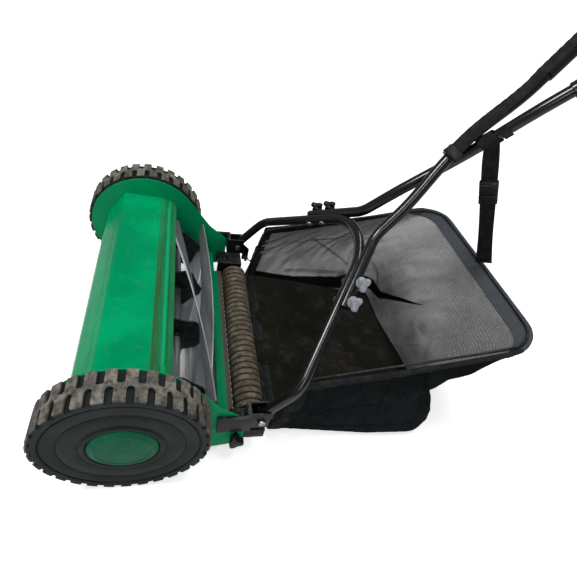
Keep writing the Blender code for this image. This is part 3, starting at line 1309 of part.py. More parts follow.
def build_bag_frame():
    """Wire frame inside the bag's rim and mouth, with two hooks for the bracket pegs."""
    inset = (CLOTH_THICKNESS + FIT_GAP + WIRE_RADIUS) * SLOPING_WALL_ALLOWANCE
    rim = bag_outline(1.0, inset)
    front = rim[0]
    mouth_low = Vector((BAG_FLOOR_HALF_FRONT - inset, BAG_FLOOR_FRONT + WIRE_RADIUS,
                        BAG_BOTTOM + CLOTH_THICKNESS + FIT_GAP + WIRE_RADIUS))
    inboard = mouth_low - Vector((BAG_CORNER_RADIUS, 0, 0))
    eases = [BAG_WIRE_CORNER, BAG_WIRE_CORNER]
    left_side = rounded_path([inboard, mouth_low, front, rim[1]], eases, 3)[:-1]
    right_side = [Vector((-p.x, p.y, p.z)) for p in reversed(left_side)]
    loop = left_side + rim[1:-1] + right_side
    bm = sweep(loop, WIRE_RADIUS, WIRE_SIDES, cyclic=True)
    frame = add_object(bm, "bag_frame", BLACK_PAINT, (0.0, PEG_Y, PEG_Z))
    part = (PEG_Z + HOOK_ROOT_RISE - mouth_low.z) / (front.z - mouth_low.z)
    anchor = mouth_low.lerp(front, part)
    hook_radius = PEG_RADIUS + RUNNING_GAP + HOOK_WIRE_RADIUS
    hook_x = CHEEK_INNER - BRACKET_CHEEK - PEG_LENGTH / 2
    for side in (1, -1):
        curl = [Vector((side * hook_x, y, z)) for y, z in
                arc(PEG_Y, PEG_Z, hook_radius, math.radians(-20), math.radians(215), 9)]
        path = [Vector((side * anchor.x, anchor.y, anchor.z)),
                Vector((side * hook_x, PEG_Y + HOOK_RUN, PEG_Z - HOOK_DROP))] + curl
        hook = sweep(path, HOOK_WIRE_RADIUS, WIRE_SIDES)
        tool = add_cutter(hook, side_name(side, "bag_hook_cutter"))
        combine(frame, tool, "UNION")
    return frame


def right_tube_point(along):
    """A point on the axis of the right upper tube, which lies on the left beyond the crossing."""
    return on_handle(crossing_x(-1, along), along, crossing_lift(-1, along))


def strap_points():
    """Tube axis, top, bottom and direction of the bag strap, which hangs to the rear of the rim."""
    axis = right_tube_point(STRAP_STATION)
    rim = Vector((0.0, BAG_RIM_REAR_Y - STRAP_RIM_INSET, BAG_RIM_REAR_Z + STRAP_RIM_RISE))
    drop = (rim - axis).normalized()
    top = axis + drop * (TUBE_RADIUS + STRAP_THICKNESS + 3 * FIT_GAP)
    bottom = rim - drop * STRAP_END_GAP
    return axis, top, bottom, drop


def strap_box(name, spec, start, end, width, thickness):
    """A closed length of strap or buckle between two distances down the strap."""
    _, top, _, drop = strap_points()
    wide = drop.cross(Vector((1.0, 0.0, 0.0))).normalized()
    stations = [(top + drop * start, wide, width), (top + drop * end, wide, width)]
    return add_object(ribbon(stations, thickness), name, spec, top)


def build_strap():
    """Bag strap: webbing looped round the tube, a two-part buckle and webbing down to the rim."""
    axis, top, bottom, _ = strap_points()
    half = STRAP_WRAP_LENGTH / 2
    tube_way = right_tube_point(STRAP_STATION + half) - right_tube_point(STRAP_STATION - half)
    bore = bore_round(TUBE_RADIUS + STRAP_TUBE_GAP - FIT_GAP)
    upper = strap_box("upper_webbing", WEBBING, -(top - axis).length, BUCKLE_START - FIT_GAP,
                      STRAP_WIDTH, STRAP_THICKNESS)
    wrap = [(-half, bore + STRAP_THICKNESS), (half, bore + STRAP_THICKNESS)]
    wrap_tool = aim(turned(wrap, TUBE_SIDES, closed=False), axis, tube_way)
    combine(upper, add_cutter(wrap_tool, "strap_wrap_cutter"), "UNION")
    inside = [(-STRAP_WIDTH, bore), (STRAP_WIDTH, bore)]
    inside_tool = aim(turned(inside, TUBE_SIDES, closed=False), axis, tube_way)
    combine(upper, add_cutter(inside_tool, "strap_bore_cutter"), "DIFFERENCE")
    socket_end = BUCKLE_START + SOCKET_LENGTH
    socket = strap_box("buckle_socket", BLACK_PLASTIC, BUCKLE_START, socket_end, BUCKLE_WIDTH,
                       BUCKLE_THICKNESS)
    mouth_width = BUCKLE_WIDTH - 2 * BUCKLE_MOUTH_WALL
    mouth_thickness = BUCKLE_THICKNESS - 2 * BUCKLE_MOUTH_SKIN
    mouth = strap_box("buckle_mouth_cutter", STEEL, socket_end - TONGUE_LENGTH - TONGUE_SIDE_GAP,
                      socket_end + PLUG_LENGTH, mouth_width, mouth_thickness)
    combine(socket, as_cutter(mouth), "DIFFERENCE")
    plug_start = socket_end + FIT_GAP
    plug_end = plug_start + PLUG_LENGTH
    plug = strap_box("buckle_plug", BLACK_PLASTIC, plug_start, plug_end, BUCKLE_WIDTH, BUCKLE_THICKNESS)
    tongue = strap_box("buckle_tongue_cutter", STEEL, socket_end - TONGUE_LENGTH,
                       plug_start + PLUG_LENGTH / 4, mouth_width - 2 * TONGUE_SIDE_GAP,
                       mouth_thickness - 2 * TONGUE_FACE_GAP)
    combine(plug, as_cutter(tongue), "UNION")
    strap_box("lower_webbing", WEBBING, plug_end + FIT_GAP, (bottom - top).length, STRAP_WIDTH,
              STRAP_THICKNESS)


def main():
    clear_scene()
    for side in (1, -1):
        build_side_plate(side)
        build_axle_stub(side)
        build_bearing(side)
        build_handle_bracket(side)
        build_pivot_bolt(side)
        build_wheel(side)
        build_ring_gear(side)
        build_hub_cap(side)
        build_pinion(side)
        build_roller_bracket(side)
        build_height_knob(side)
        build_upper_tube(side)
        build_grip(side)
        for number, down in enumerate(NEST_BOLT_STEPS, 1):
            build_joint_bolt(side, number, down)
            build_joint_knob(side, number, down)
    build_cover()
    build_bed_bar()
    build_bed_knife()
    build_shaft()
    for index in range(BLADE_COUNT):
        build_blade(index)
    for number, x in enumerate(SPIDER_STATIONS, 1):
        build_spider(number, x)
    build_roller()
    build_roller_axle()
    build_arch()
    build_crossing_rivet()
    build_tri_glide()
    build_handle_webbing()
    build_handle_loop()
    build_bag()
    build_bag_frame()
    build_strap()
    rear = on_handle(0.0, LOOP_TOP).y + GRIP_RADIUS
    centre = (rear - WHEEL_RADIUS) / 2
    for item in bpy.data.objects:
        item.location.y -= centre


main()
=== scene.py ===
"""Looks of the hand-pushed reel mower: paint, rubber, steel, webbing and the cloth grass bag.

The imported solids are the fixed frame. New pieces stand for the solids whose finish or form needs more
detail, and ride on the same bodies. Metres, +Z up; the mower drives towards -Y and the user's left is +X.
"""
import math

import bpy
from mathutils import Matrix, Vector
from mathutils import noise as perlin


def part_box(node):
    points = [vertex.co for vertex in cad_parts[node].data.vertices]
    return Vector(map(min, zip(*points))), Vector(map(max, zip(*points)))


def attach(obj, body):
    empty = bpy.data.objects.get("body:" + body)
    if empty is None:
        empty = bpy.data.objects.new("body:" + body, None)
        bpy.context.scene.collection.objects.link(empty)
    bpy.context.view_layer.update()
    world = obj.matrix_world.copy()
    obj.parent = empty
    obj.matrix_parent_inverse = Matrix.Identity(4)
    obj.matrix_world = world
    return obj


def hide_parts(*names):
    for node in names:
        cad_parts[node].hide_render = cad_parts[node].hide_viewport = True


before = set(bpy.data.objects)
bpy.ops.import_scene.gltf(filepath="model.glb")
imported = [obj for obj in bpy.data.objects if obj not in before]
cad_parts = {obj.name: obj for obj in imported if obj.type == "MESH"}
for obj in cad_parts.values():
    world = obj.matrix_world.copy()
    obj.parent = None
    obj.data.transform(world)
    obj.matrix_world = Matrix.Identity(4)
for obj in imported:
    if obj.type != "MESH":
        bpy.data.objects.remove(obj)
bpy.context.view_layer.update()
WHEEL_LOW, WHEEL_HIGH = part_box("left_wheel")

bl_info = {
    "name": "Reel Mower",
    "version": (1, 0, 0),
    "blender": (4, 5, 0),
    "location": "View3D > Sidebar > Mower",
    "description": "Builds the looks of a hand-pushed reel mower with a grass bag",
    "category": "Add Mesh",
}

AXLE_Y = (WHEEL_LOW.y + WHEEL_HIGH.y) / 2
AXLE_Z = (WHEEL_LOW.z + WHEEL_HIGH.z) / 2
X_WAY = Vector((1.0, 0.0, 0.0))
Y_WAY = Vector((0.0, 1.0, 0.0))
UP = Vector((0.0, 0.0, 1.0))
ORIGIN = Vector((0.0, 0.0, 0.0))
SIDES = (1, -1)

# Handle plane
PIVOT_Y = 0.18502
PIVOT_Z = 0.080
HANDLE_SLOPE = math.radians(52.3)
FOOT_X = 0.206
FOOT_BEYOND_PIVOT = 0.011
LEG_LEAN = math.radians(44)
ARCH_TOP = 0.2465
ARCH_CROWN_RADIUS = 0.100
ARCH_FOOT_BEND = 0.050
NEST_OFFSET = 0.0105
NEST_LENGTH = 0.058
NEST_BOLT_STEPS = (0.0165, 0.0485)
UPPER_BEND_RADIUS = 0.050
UPPER_BEND_AHEAD = 0.060
CROSSING = 0.440
CROSSING_SHIFT = -0.006
CROSSING_SPAN = 0.125
LEAN_BELOW_CROSSING = 0.20
LEAN_ABOVE_CROSSING = 0.21
UPPER_TUBE_END = 0.640
SOCKET_START = 0.582
LOOP_BEND = 0.700
LOOP_LEAN = 0.28
LOOP_TOP = 1.140
LOOP_CORNER_RADIUS = 0.048
LOOP_BEND_RADIUS = 0.12
GLIDE_START = 0.420
GLIDE_LENGTH = 0.012
BAND_END = 0.664
BAND_WRAP = 0.014
BAND_TURN = math.radians(50)
BAND_TURN_END = 0.560
STRAP_STATION = 0.480
FIT_GAP = 0.0003

# Bag; plan sizes at the floor and at the rim
BAG_BOTTOM = 0.008
BAG_FLOOR = (0.2095, 0.512, 0.190, 0.199)
BAG_RIM = (0.237, 0.612, 0.194, 0.199)
BAG_RIM_HEIGHTS = (0.135, 0.2245)
BAG_CORNER_RADIUS = 0.055
BAG_BELLY = 0.005
BAG_REAR_FLARE = 3.4
CLOTH_HALF = 0.0008
BAG_MOUTH = 0.206
BAG_MIDDLE = 0.36
SLACK_LEAST = 0.002
SLACK_MORE = 0.070
PINCH_LEFT = 0.052
PINCH_RIGHT = 0.024
NEAR_BELLY = 0.013
FOLD_LIMIT = 0.0035
RIM_SAG = 0.006
TAPE_CROWN = 0.0016
STITCH_SHARE = 0.68
STITCH_RADIUS = 0.00035

# Wheels and plates, heights from the ground and distances behind the axle
WHEEL_RADIUS = AXLE_Z
TREAD_BLOCKS = 30
TREAD_SLOT_SHARE = 0.4
TREAD_CORNER = 0.002
TREAD_TOOL_HEIGHT = 0.012
AXLE_RADIUS = 0.0065
PLATE_INNER_FACE = 0.2146
PLATE_THICKNESS = 0.002
DISC_RADIUS = 0.102
DISC_END = math.radians(275)
DISC_STEPS = 90
EAR_START = (0.058, 0.012)
REEL_Y = 0.0620197
REEL_Z = 0.0854267
BEARING_RADIUS = 0.013
EAR_KINK = (0.125, 0.115)
EAR_REAR = 0.163
EAR_TOP = 0.085
EAR_BOTTOM = 0.024
SLOT_HALF_WIDTH = 0.0034
HEIGHT_BOLT_Y = 0.151
HEIGHT_BOLT_Z = 0.040
HEIGHT_DOWN = 0.012
HEIGHT_UP = 0.008

# Cover, bed bar, reel and roller
COVER_THICKNESS = 0.0016
COVER_BENDS = ((-0.082, -0.020), (-0.070, 0.025), (-0.038, 0.070), (0.033, 0.0655), (0.056, 0.055))
RIB_START = -0.185
RIB_END = 0.178
RIB_MIDDLE = 0.0435
RIB_HALF = 0.0048
RIB_HEIGHT = 0.0022
RIB_FACE = (0.030, 0.056)
GROOVES_FROM = -0.0530
GROOVES_TO = -0.0405
GROOVE_PITCH = 0.0031
GROOVE_DEPTH = 0.00045
COVER_STEPS = 170
COVER_GRAIN = 0.0012
BAR_FRONT = 0.12852
BAR_THICKNESS = 0.008
BAR_BOTTOM = 0.0270267
BAR_TOP = 0.0480267
SHELF_HALF = 0.172
SHELF_REACH = 0.15352
REEL_RADIUS = 0.063
BLADE_COUNT = 5
BLADE_TWIST = math.radians(-84)
BLADE_WIDTH_ANGLE = math.radians(-22)
BLADE_INNER = 0.043
BLADE_THICKNESS = 0.0022
BLADE_EASE = 0.0004
BLADE_HALF = 0.203
SPIDER_STATIONS = (-0.172, -0.057, 0.057, 0.172)
SPIDER_THICKNESS = 0.003
SPIDER_WAIST = 0.037
LUG_ANGLE = math.radians(10)
HUB_RADIUS = 0.0105
HUB_HALF = 0.007
SHAFT_RADIUS = 0.006
ROLLER_Y = 0.18002
ROLLER_Z = 0.0255
ROLLER_RADIUS = 0.0255
ROLLER_HALF = 0.170
ROLLER_BORE = 0.0046

# Tubes, grips, knobs, band and strap
TUBE_RADIUS = 0.0085
TUBE_WALL = 0.0011
LOOP_TUBE_RADIUS = 0.0104528
LOOP_TUBE_WALL = 0.0012
GRIP_RADIUS = 0.0155
GRIP_START = 0.012
GRIP_LENGTH = 0.100
KNOB_RADIUS = 0.013
KNOB_LENGTH = 0.014
KNOB_COLLAR = 0.006
KNOB_LOBE_DEPTH = 0.46
BAND_WIDTH = 0.020
BAND_THICKNESS = 0.0016
STRAP_WIDTH = 0.024
STRAP_TURN = math.radians(32)
STRAP_THICKNESS = 0.0016
BUCKLE_START = 0.062
BUCKLE_WIDTH = 0.028
BUCKLE_THICKNESS = 0.009
SOCKET_LENGTH = 0.026
PLUG_LENGTH = 0.018
WEBBING_COLUMNS = 9

# Grid of the bag's wall
SIDE_STEPS = 56
CORNER_STEPS = 14
REAR_STEPS = 34
WALL_LEVELS = 56


def at(x, y, z):
    """A point given from the ground under the middle of the wheel axle."""
    return Vector((x, AXLE_Y + y, z))


def on_handle(x, along, lift=0.0):
    """A point of the handle plane: sideways, up the slope from the pivots, and above the plane."""
    y = PIVOT_Y + along * math.cos(HANDLE_SLOPE) - lift * math.sin(HANDLE_SLOPE)
    z = PIVOT_Z + along * math.sin(HANDLE_SLOPE) + lift * math.cos(HANDLE_SLOPE)
    return at(x, y, z)


def turn_to(x_way, y_way, z_way):
    """The turn that brings the three axes to three directions."""
    return Matrix((x_way, y_way, z_way)).transposed().to_quaternion()


def side_name(side, rest):
    return ("left_" if side > 0 else "right_") + rest


def rounded_path(corners, radii, steps):
    """A line through the corners, each inner corner eased by an arc of its own radius."""
    path = [Vector(corners[0])]
    for before, corner, after, radius in zip(corners, corners[1:], corners[2:], radii):
        corner = Vector(corner)
        back = (Vector(before) - corner).normalized()
        ahead = (Vector(after) - corner).normalized()
        half = back.angle(ahead) / 2
        reach = radius / math.tan(half)
        middle = corner + (back + ahead).normalized() * (radius / math.sin(half))
        start = corner + back * reach - middle
        end = corner + ahead * reach - middle
        sweep = start.angle(end)
        for i in range(steps + 1):
            a = math.sin((1 - i / steps) * sweep) / math.sin(sweep)
            b = math.sin(i / steps * sweep) / math.sin(sweep)
            path.append(middle + start * a + end * b)
    path.append(Vector(corners[-1]))
    return path


def circle_points(radius, count):
    turns = [2 * math.pi * i / count for i in range(count)]
    return [(radius * math.cos(a), radius * math.sin(a)) for a in turns]


def part_of(value, start, span):
    """How far a value has come over a span, held between 0 and 1."""
    return min(max((value - start) / span, 0.0), 1.0)


# Selecting and finishing

def deselect():
    if bpy.context.object and bpy.context.object.mode != "OBJECT":
        bpy.ops.object.mode_set(mode="OBJECT")
    bpy.ops.object.select_all(action="DESELECT")


def pick(*pieces):
    deselect()
    for piece in pieces:
        piece.select_set(True)
    bpy.context.view_layer.objects.active = pieces[0]
    return pieces[0]


def settle(piece, location=None, turn=None):
    """Move and turn a piece, then put its place into its mesh."""
    if turn is not None:
        piece.rotation_mode = "QUATERNION"
        piece.rotation_quaternion = turn
    if location is not None:
        piece.location = location
    pick(piece)
    bpy.ops.object.transform_apply(location=True, rotation=True, scale=True)
    return piece


def modify(piece, kind, **settings):
    """Add one modifier and apply it."""
    modifier = piece.modifiers.new(kind.title(), kind)
    for key, value in settings.items():
        setattr(modifier, key, value)
    pick(piece)
    bpy.ops.object.modifier_apply(modifier=modifier.name)
    return piece


def close_shell(piece):
    """Merge doubles and turn every face outwards."""
    pick(piece)
    bpy.ops.object.mode_set(mode="EDIT")
    bpy.ops.mesh.select_all(action="SELECT")
    bpy.ops.mesh.remove_doubles(threshold=0.000001)
    bpy.ops.mesh.normals_make_consistent(inside=False)
    bpy.ops.object.mode_set(mode="OBJECT")
    return piece


def bevel(piece, width, segments=2, angle=35.0):
    return modify(piece, "BEVEL", width=width, segments=segments, limit_method="ANGLE",
                  angle_limit=math.radians(angle), harden_normals=False)


def smooth(piece, angle=38.0):
    pick(piece)
    bpy.ops.object.shade_smooth_by_angle(angle=math.radians(angle))
    return piece


def joined(name, pieces):
    """Several pieces as one, under a name of their own."""
    pick(*pieces)
    if len(pieces) > 1:
        bpy.ops.object.join()
    made = bpy.context.view_layer.objects.active
    made.name = name
    made.data.name = name
    return made


def copied(piece):
    pick(piece)
    bpy.ops.object.duplicate(linked=False)
    return bpy.context.view_layer.objects.active


def mirror_copy(piece, name):
    """The same piece on the other side of the mower."""
    made = copied(piece)
    made.scale = (-1.0, 1.0, 1.0)
    settle(made)
    close_shell(made)
    made.name = name
    return made


def carve(piece, tool, operation="DIFFERENCE"):
    """Boolean with a tool that is then thrown away."""
    modify(piece, "BOOLEAN", object=tool, operation=operation, solver="EXACT")
    bpy.data.objects.remove(tool, do_unlink=True)
    return piece


def drawn_line(name, points, closed=False, flat=False):
    """A straight-edged curve through the points, drawn at the origin."""
    deselect()
    bpy.ops.curve.primitive_bezier_curve_add(location=(0.0, 0.0, 0.0))
    line = bpy.context.object
    line.name = name
    data = line.data
    data.dimensions = "2D" if flat else "3D"
    data.splines.clear()
    for run in (points if isinstance(points[0], list) else [points]):
        spline = data.splines.new("POLY")
        spline.points.add(len(run) - 1)
        for slot, point in zip(spline.points, run):
            slot.co = (*point, *([0.0] * (3 - len(point))), 1.0)
        spline.use_cyclic_u = closed or flat
    return line


def as_mesh(line):
    pick(line)
    bpy.ops.object.convert(target="MESH")
    return bpy.context.view_layer.objects.active


def rod(name, path, radius, resolution):
    """A round bar along a path."""
    line = drawn_line(name, path)
    line.data.bevel_depth = radius
    line.data.bevel_resolution = resolution
    line.data.use_fill_caps = True
    line.data.twist_mode = "MINIMUM"
    return close_shell(as_mesh(line))


def turned(name, profile, centre, way=X_WAY, segments=64, closed=True):
    """A solid turned about a line through centre; the profile is (distance along it, radius) points."""
    line = drawn_line(name, [Vector((radius, 0.0, along)) for along, radius in profile], closed)
    piece = as_mesh(line)
    modify(piece, "SCREW", angle=2 * math.pi, steps=segments, render_steps=segments, axis="Z",
           use_merge_vertices=True, merge_threshold=0.00001, use_smooth_shade=False)
    close_shell(piece)
    return settle(piece, Vector(centre), UP.rotation_difference(Vector(way)))


def plate(name, outlines, thickness, edge, resolution):
    """A flat plate with holes and rounded edges, lying in XY about the origin."""
    line = drawn_line(name, outlines, flat=True)
    line.data.fill_mode = "BOTH"
    line.data.extrude = thickness / 2 - edge
    line.data.bevel_depth = edge
    line.data.bevel_resolution = resolution
    line.data.offset = -edge
    return close_shell(as_mesh(line))


def upright(piece, x):
    """Stand a plate drawn as (y, z) in XY at a station along X."""
    return settle(piece, Vector((x, AXLE_Y, 0.0)), turn_to(Y_WAY, UP, X_WAY))


def block(name, low, high):
    """A box between two corners, ready for bevels and insets."""
    deselect()
    low, high = Vector(low), Vector(high)
    bpy.ops.mesh.primitive_cube_add(size=1.0, location=(low + high) / 2)
    piece = bpy.context.object
    piece.name = name
    piece.scale = high - low
    return settle(piece)


def refined(node, width):
    """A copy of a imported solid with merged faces, eased edges and smooth turns."""
    piece = copied(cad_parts[node])
    piece.parent = None
    piece.matrix_world = Matrix.Identity(4)
    for key in list(piece.keys()):
        del piece[key]
    piece.data.materials.clear()
    piece.name = node + "_finish"
    pick(piece)
    bpy.ops.object.mode_set(mode="EDIT")
    bpy.ops.mesh.select_all(action="SELECT")
    bpy.ops.mesh.remove_doubles(threshold=0.00001)
    bpy.ops.mesh.dissolve_limited(angle_limit=math.radians(1.0))
    bpy.ops.object.mode_set(mode="OBJECT")
    if width:
        bevel(piece, width)
    return smooth(piece)


# Sizes and colours a user would change

def colour(name, description, value):
    return bpy.props.FloatVectorProperty(name=name, description=description, default=value, size=3,
                                         min=0.0, max=1.0, subtype="COLOR")


def length(name, description, value):
    return bpy.props.FloatProperty(name=name, description=description, default=value, min=0.0,
                                   unit="LENGTH", subtype="DISTANCE", precision=4)


class MowerColours(bpy.types.PropertyGroup):
    paint: colour("Paint", "Green powder coat of the sheet parts", (0.0, 0.285, 0.108))
    cap: colour("Hub Cap", "Moulded green of the hub caps", (0.006, 0.115, 0.056))
    # The worn olive also serves as painted shade on the cover's rear bend and over its rear panel.
    worn: colour("Worn Paint", "Olive tone of rubbed and dusty paint", (0.030, 0.105, 0.036))
    rubber: colour("Wheel", "Black moulding of the wheels", (0.015, 0.019, 0.019))
    dust: colour("Dust", "Dry grass dust on upper faces", (0.170, 0.155, 0.130))
    enamel: colour("Enamel", "Black enamel of the tubes and brackets", (0.003, 0.003, 0.004))
    blade: colour("Blade", "Oiled steel of the blades", (0.180, 0.185, 0.195))
    zinc: colour("Zinc", "Plated bolts, nuts and shaft", (0.480, 0.480, 0.460))
    wood: colour("Roller", "Dusty turned wood of the roller", (0.088, 0.071, 0.047))
    knob: colour("Knob", "Grey moulding of the wing knobs", (0.340, 0.360, 0.390))
    plastic: colour("Fittings", "Black moulding of buckle, slider and gears", (0.008, 0.009, 0.0105))
    lining: colour("Lining", "Grey weave inside the bag", (0.225, 0.223, 0.223))
    cloth: colour("Cloth", "Black weave outside the bag", (0.0135, 0.0175, 0.0190))
    floor: colour("Floor Cloth", "Brown black weave of the bag's floor", (0.010, 0.0095, 0.0075))
    tape: colour("Tape", "Grey tape sewn over the rear rim", (0.048, 0.053, 0.062))
    webbing: colour("Webbing", "Woven black strap", (0.008, 0.009, 0.010))


class MowerSizes(bpy.types.PropertyGroup):
    tread_depth: length("Tread Depth", "Depth of the slots between the tread blocks", 0.0062)
    plate_edge: length("Plate Edge", "Rounding of the sheet edges", 0.0008)
    roller_pitch: length("Roller Ring", "Width of one ring of the roller", 0.0123)
    roller_groove: length("Roller Groove", "Depth of the grooves between the rings", 0.0030)
    rear_tape: length("Rear Tape", "Height of the tape on the rear rim", 0.028)
    side_tape: length("Side Tape", "Height of the tape on the side rims", 0.017)
    front_tape: length("Front Tape", "Width of the binding on the front edges", 0.020)
    fold_depth: length("Fold Depth", "Depth of the soft folds in the bag", 0.0055)
    weave_pitch: length("Weave Pitch", "Spacing of the threads in the bag", 0.0042)
    stitch_length: length("Stitch Length", "Length of one stitch", 0.0040)


def colours():
    return bpy.context.scene.mower_colours


def sizes():
    return bpy.context.scene.mower_sizes


def tone(shade, factor):
    return tuple(min(part * factor, 1.0) for part in shade)


# Node helpers

class Nodes:
    """A node tree with short ways to add nodes and link them."""

    def __init__(self, tree):
        self.tree = tree

    def feed(self, socket, value):
        """Link an output, or set a plain value, on a socket."""
        if isinstance(value, bpy.types.NodeSocket):
            self.tree.links.new(value, socket)
        elif socket.type == "RGBA":
            socket.default_value = (*tuple(value)[:3], 1.0)
        else:
            socket.default_value = value

    def add(self, kind, sockets=None, **settings):
        made = self.tree.nodes.new("ShaderNode" + kind)
        for key, value in settings.items():
            setattr(made, key, value)
        for key, value in (sockets or {}).items():
            self.feed(made.inputs[key], value)
        return made

    def math(self, operation, *values):
        return self.add("Math", dict(enumerate(values)), operation=operation).outputs[0]

    def times(self, first, second):
        return self.math("MULTIPLY", first, second)

    def vector(self, operation, *values):
        return self.add("VectorMath", dict(enumerate(values)), operation=operation).outputs[0]

    def number(self, operation, *values):
        """A vector operation that gives a plain number."""
        return self.add("VectorMath", dict(enumerate(values)), operation=operation).outputs[1]

    def scaled(self, vector, factor):
        sockets = {"Vector": vector, "Scale": factor}
        return self.add("VectorMath", sockets, operation="SCALE").outputs[0]

    def axes(self, vector):
        return self.add("SeparateXYZ", {0: vector}).outputs

    def noise(self, place, scale, detail, **sockets):
        sockets = {"Vector": place, "Scale": scale, "Detail": detail, **sockets}
        return self.add("TexNoise", sockets).outputs["Fac"]

    def step(self, value, low, high, start=0.0, end=1.0):
        sockets = {"Value": value, "From Min": low, "From Max": high, "To Min": start, "To Max": end}
        return self.add("MapRange", sockets, interpolation_type="SMOOTHSTEP").outputs["Result"]

    def mix(self, mask, under, over):
        made = self.add("Mix", data_type="RGBA")
        for number, value in ((0, mask), (6, under), (7, over)):
            self.feed(made.inputs[number], value)
        return made.outputs[2]

    def fade(self, mask, under, over):
        return self.add("Mix", {0: mask, 2: under, 3: over}, data_type="FLOAT").outputs[0]

    def relief(self, height, distance, strength, under=None):
        """Bump from a height in parts of the distance in metres."""
        sockets = {"Height": height, "Distance": distance, "Strength": strength}
        if under is not None:
            sockets["Normal"] = under
        return self.add("Bump", sockets).outputs["Normal"]

    def effect(self, name, result="Mask", **sockets):
        """Place one of the shared effects; with no result named, all its outputs come back."""
        made = self.tree.nodes.new("ShaderNodeGroup")
        made.node_tree = bpy.data.node_groups[name]
        for key, value in sockets.items():
            self.feed(made.inputs[key.title()], value)
        return made.outputs[result] if result else made.outputs


def new_effect(name, entries, results=("Mask",)):
    """An empty node group with its inputs as (title, kind, value) and plain number outputs."""
    tree = bpy.data.node_groups.new(name, "ShaderNodeTree")
    for title, kind, value in entries:
        socket = tree.interface.new_socket(title, in_out="INPUT", socket_type="NodeSocket" + kind)
        socket.default_value = value
    for title in results:
        tree.interface.new_socket(title, in_out="OUTPUT", socket_type="NodeSocketFloat")
    given = tree.nodes.new("NodeGroupInput").outputs
    result = tree.nodes.new("NodeGroupOutput").inputs
    return Nodes(tree), given, result


PLACE = ("Place", "Vector", (0.0, 0.0, 0.0))


def build_mottle():
    """Soft blotches from one noise."""
    nodes, given, result = new_effect("Mottle", [
        PLACE, ("Scale", "Float", 60.0), ("Low", "Float", 0.45), ("High", "Float", 0.60)])
    cloud = nodes.noise(given["Place"], given["Scale"], 6.0, Roughness=0.62)
    nodes.feed(result["Mask"], nodes.step(cloud, given["Low"], given["High"]))


def build_scratches():
    """Streaks: noise drawn out by an uneven stretch."""
    nodes, given, result = new_effect("Scratches", [
        PLACE, ("Stretch", "Vector", (8.0, 500.0, 500.0)), ("Low", "Float", 0.58),
        ("High", "Float", 0.72)])
    drawn = nodes.vector("MULTIPLY", given["Place"], given["Stretch"])
    lines = nodes.noise(drawn, 1.0, 3.0)
    nodes.feed(result["Mask"], nodes.step(lines, given["Low"], given["High"]))


def build_weave():
    """Relief of a plain weave, and one random number for each crossing of two threads."""
    nodes, given, result = new_effect("Weave", [PLACE, ("Pitch", "Float", 0.002)],
                                      ("Height", "Thread"))
    counted = nodes.scaled(given["Place"], nodes.math("DIVIDE", 1.0, given["Pitch"]))
    parts = nodes.axes(counted)
    humps = [nodes.math("ABSOLUTE", nodes.math("SINE", nodes.times(parts[axis], math.pi)))
             for axis in "XY"]
    cell = nodes.vector("FLOOR", counted)
    corners = nodes.axes(cell)
    both = nodes.math("ADD", corners["X"], corners["Y"])
    over = nodes.math("ABSOLUTE", nodes.math("MODULO", both, 2.0))
    nodes.feed(result["Height"], nodes.fade(over, humps[0], humps[1]))
    nodes.feed(result["Thread"], nodes.add("TexWhiteNoise", {"Vector": cell}).outputs["Value"])


def build_crease():
    """A soft stroke from start to end, thinned towards its end by the taper."""
    nodes, given, result = new_effect("Crease", [
        PLACE, ("Start", "Vector", (0.0, 0.0, 0.0)), ("End", "Vector", (0.1, 0.0, 0.0)),
        ("Width", "Float", 0.004), ("Weights", "Vector", (1.0, 1.0, 1.0)), ("Taper", "Float", 0.0)])
    out = nodes.vector("SUBTRACT", given["Place"], given["Start"])
    out = nodes.vector("MULTIPLY", out, given["Weights"])
    run = nodes.vector("SUBTRACT", given["End"], given["Start"])
    run = nodes.vector("MULTIPLY", run, given["Weights"])
    along = nodes.math("DIVIDE", nodes.number("DOT_PRODUCT", out, run),
                       nodes.number("DOT_PRODUCT", run, run))
    held = nodes.add("Clamp", {"Value": along}).outputs[0]
    off = nodes.vector("SUBTRACT", out, nodes.scaled(run, held))
    away = nodes.number("LENGTH", off)
    thinned = nodes.math("SUBTRACT", 1.0, nodes.times(held, given["Taper"]))
    width = nodes.times(given["Width"], thinned)
    nodes.feed(result["Mask"], nodes.step(away, 0.0, width, 1.0, 0.0))


def build_zone():
    """One between two values, with soft edges outside them."""
    nodes, given, result = new_effect("Zone", [
        ("Value", "Float", 0.0), ("From", "Float", 0.0), ("To", "Float", 0.1),
        ("Soft", "Float", 0.002)])
    before = nodes.math("SUBTRACT", given["From"], given["Soft"])
    after = nodes.math("ADD", given["To"], given["Soft"])
    rise = nodes.step(given["Value"], before, given["From"])
    fall = nodes.step(given["Value"], given["To"], after, 1.0, 0.0)
    nodes.feed(result["Mask"], nodes.times(rise, fall))


def build_settled_dust():
    """Patches of dust on what faces upwards."""
    nodes, given, result = new_effect("Settled Dust", [
        PLACE, ("Facing", "Vector", (0.0, 0.0, 1.0)), ("Scale", "Float", 90.0),
        ("Low", "Float", 0.45), ("High", "Float", 0.70)])
    upward = nodes.step(nodes.axes(given["Facing"])["Z"], 0.15, 0.9)
    cloud = nodes.noise(given["Place"], given["Scale"], 8.0, Roughness=0.7)
    patches = nodes.step(cloud, given["Low"], given["High"])
    nodes.feed(result["Mask"], nodes.times(upward, patches))


